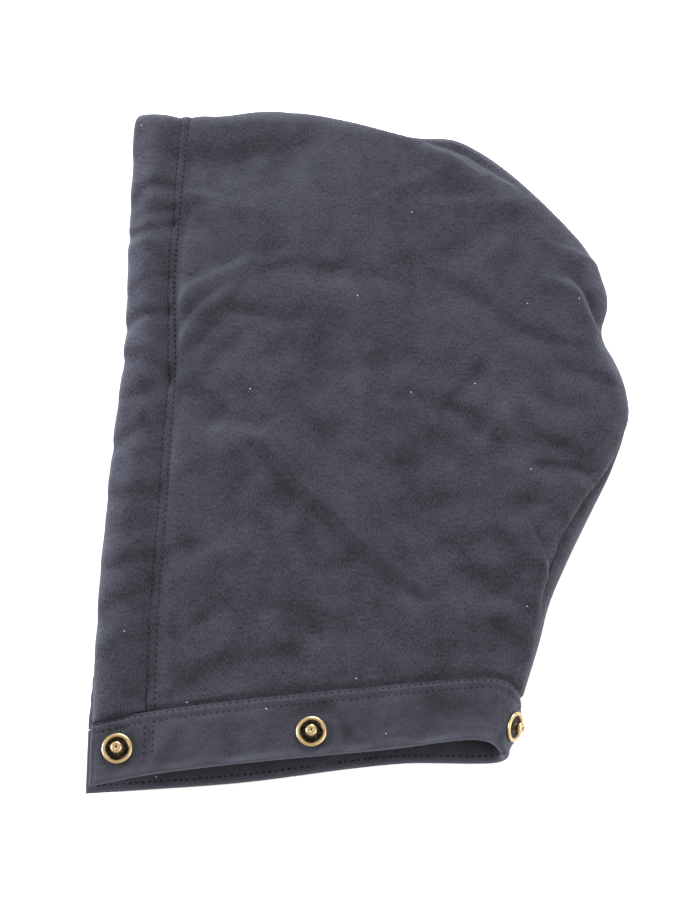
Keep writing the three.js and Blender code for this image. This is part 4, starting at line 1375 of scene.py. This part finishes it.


# %% [markdown]
# ## The knit
#
# Brushed navy knit: fine upright wales about a millimetre apart, a heather of lighter and
# darker fibres that runs along them, and a faint mottling where the nap lies differently.
# The cloth is paler along the folds and the edges, partly from wear and partly as painted
# sheen of edges that turn away, and every point keeps a number for that. The pattern is
# read from the cloth's own coordinates, so it turns over the folds with the cloth.

# %% Knit finish
def knit_finish(name, dark, light, nap):
    cloth = Finish(name)
    place = cloth.node("UVMap", {"uv_map": "cloth"})
    split = cloth.node("SeparateXYZ", {}, {"Vector": place})
    x = split * 1000
    y = Value(cloth, split.socket.node.outputs["Y"]) * 1000

    def noise(where, *look):
        return cloth.noise(where, *look, dimensions="2D")

    drift = noise(place, 160.0, 3.0)
    wale = ((x + drift * 1.6) * (2 * math.pi / 1.06)).call("SINE")
    course = ((y + drift * 2.0) * (2 * math.pi / 0.85)).call("SINE")
    upright = cloth.node("Mapping", {}, {"Vector": place, "Scale": (2.6, 0.9, 1.0)})
    level = cloth.node("Mapping", {}, {"Vector": place, "Scale": (0.5, 1.9, 1.0)})
    fibre, streak = noise(upright, 620.0, 4.0, 0.7), noise(level, 420.0, 4.0, 0.65)
    mottle, patch = noise(place, 70.0, 5.0, 0.6), noise(place, 14.0, 2.0)
    tone = 0.4 + wale * 0.07 + course * 0.02 + (fibre - 0.5) * 1.45 + (streak - 0.5) * 0.45
    tone = tone + (mottle - 0.5) * 0.55 + (patch - 0.5) * 0.22
    tone = tone.clamped()
    # Paler copy of the knit, for wear and for painted sheen along the edges
    worn_and_sheen_colour = cloth.blend(tone, [4.0 * c for c in dark], [1.75 * c for c in light])
    wear_and_edge_sheen = cloth.node("Attribute", {"attribute_name": "wear_and_edge_sheen"}, output=2)
    colour = cloth.blend(wear_and_edge_sheen.call("MINIMUM", 1.0), cloth.blend(tone, dark, light), worn_and_sheen_colour)
    # Lint: in one cell out of five a speck of pale fluff, at most a third of a millimetre
    cells = cloth.node("TexVoronoi", {"voronoi_dimensions": "2D"}, {"Vector": place, "Scale": 34.0})
    tint = Value(cloth, cells.socket.node.outputs["Color"])
    chosen = cloth.node("SeparateColor", {}, {"Color": tint}).call("GREATER_THAN", 0.82)
    speck = cells.call("LESS_THAN", 0.0105) * chosen
    colour = cloth.blend(speck * 0.6, colour, (0.45, 0.44, 0.40))
    height = wale * 0.22 + course * 0.12 + fibre * 1.0 + streak * 0.6 + mottle * 0.5
    bump = cloth.node("Bump", {}, {"Height": height, "Strength": nap, "Distance": 0.0003})
    return cloth.close({
        "Base Color": colour, "Roughness": 0.93, "Specular IOR Level": 0.15,
        "Sheen Weight": 0.15, "Sheen Roughness": 0.4, "Sheen Tint": (0.80, 0.86, 1.0, 1.0),
        "Normal": bump,
    })


PANEL_LOOK = (0.0015, 0.0015, 0.0021), (0.0316, 0.0310, 0.0414), 0.75  # dark, light, nap
panel_knit, hem_knit = knit_finish("panel_knit", *PANEL_LOOK), knit_finish("hem_knit", *PANEL_LOOK)
band_knit = knit_finish("band_knit", (0.0085, 0.0084, 0.0112), (0.0310, 0.0305, 0.0405), 0.4)
for piece in (left_panel, right_panel):
    piece.data.materials.append(panel_knit)
face_hem.data.materials.append(hem_knit)
neck_band.data.materials.append(band_knit)
print("three knit finishes")


# %% [markdown]
# ## The thread
#
# The thread is navy. Its colour is painted near black, darker than the knit, as painted
# shade of the needle holes and of the groove it sinks into. A fine noise stands for its
# twist, which is too small to model on a bead two millimetres long.

# %% Thread finish
thread = Finish("navy_thread_painted_dark")
spot = thread.node("TexCoord", output=3)
strand = thread.noise(spot, 2500.0, 2.0)
# Near black: the navy thread with painted shade of its needle holes and groove
thread_and_painted_shade_colour = thread.blend(strand, (0.0015, 0.0015, 0.0025), (0.006, 0.006, 0.009))
thread_bump = thread.node("Bump", {}, {"Height": strand, "Strength": 0.4, "Distance": 0.0001})
navy_thread_painted_dark = thread.close({
    "Base Color": thread_and_painted_shade_colour, "Roughness": 0.8, "Specular IOR Level": 0.15,
    "Normal": thread_bump,
})
for piece in thread_pieces:
    piece.data.materials.append(navy_thread_painted_dark)
print("thread finish")


# %% [markdown]
# ## Antiqued brass
#
# Antiquing darkens a whole snap, and use brings the brass back on its rims. The wear
# that each point keeps chooses between the two, and a noise breaks up the border. One
# even metal colour would look new.

# %% Antiqued brass
brass = Finish("antiqued_brass")
where = brass.node("TexCoord", output=3)
worn = brass.node("Attribute", {"attribute_name": "wear"}, output=2)
scuff = brass.noise(where, 900.0, 5.0, 0.65)
spots = brass.noise(where, 2600.0, 2.0)
shine = (worn + (scuff - 0.5) * 0.55).clamped()
metal_colour = brass.blend(shine, (0.006, 0.005, 0.004), (0.34, 0.25, 0.135))
pits = scuff * 0.7 + spots * 0.3
bumps = brass.node("Bump", {}, {"Height": pits, "Strength": 0.35, "Distance": 0.0001})
antiqued_brass = brass.close({
    "Base Color": metal_colour, "Metallic": 1.0, "Roughness": 0.58 - shine * 0.24,
    "Normal": bumps,
})
for piece in snap_pieces:
    piece.data.materials.append(antiqued_brass)
print("brass finish")


# %% [markdown]
# ## Sizes
#
# The dressed hood is measured against the imported model, and how far it stands out on each side is
# printed.


dressed_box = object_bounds()
for axis, low, high, cad_low, cad_high in zip("xyz", *dressed_box, *model_box):
    past = [round(length * 1000, 1) for length in (cad_low - low, high - cad_high)]
    print(axis, "stands out by", past, "mm")
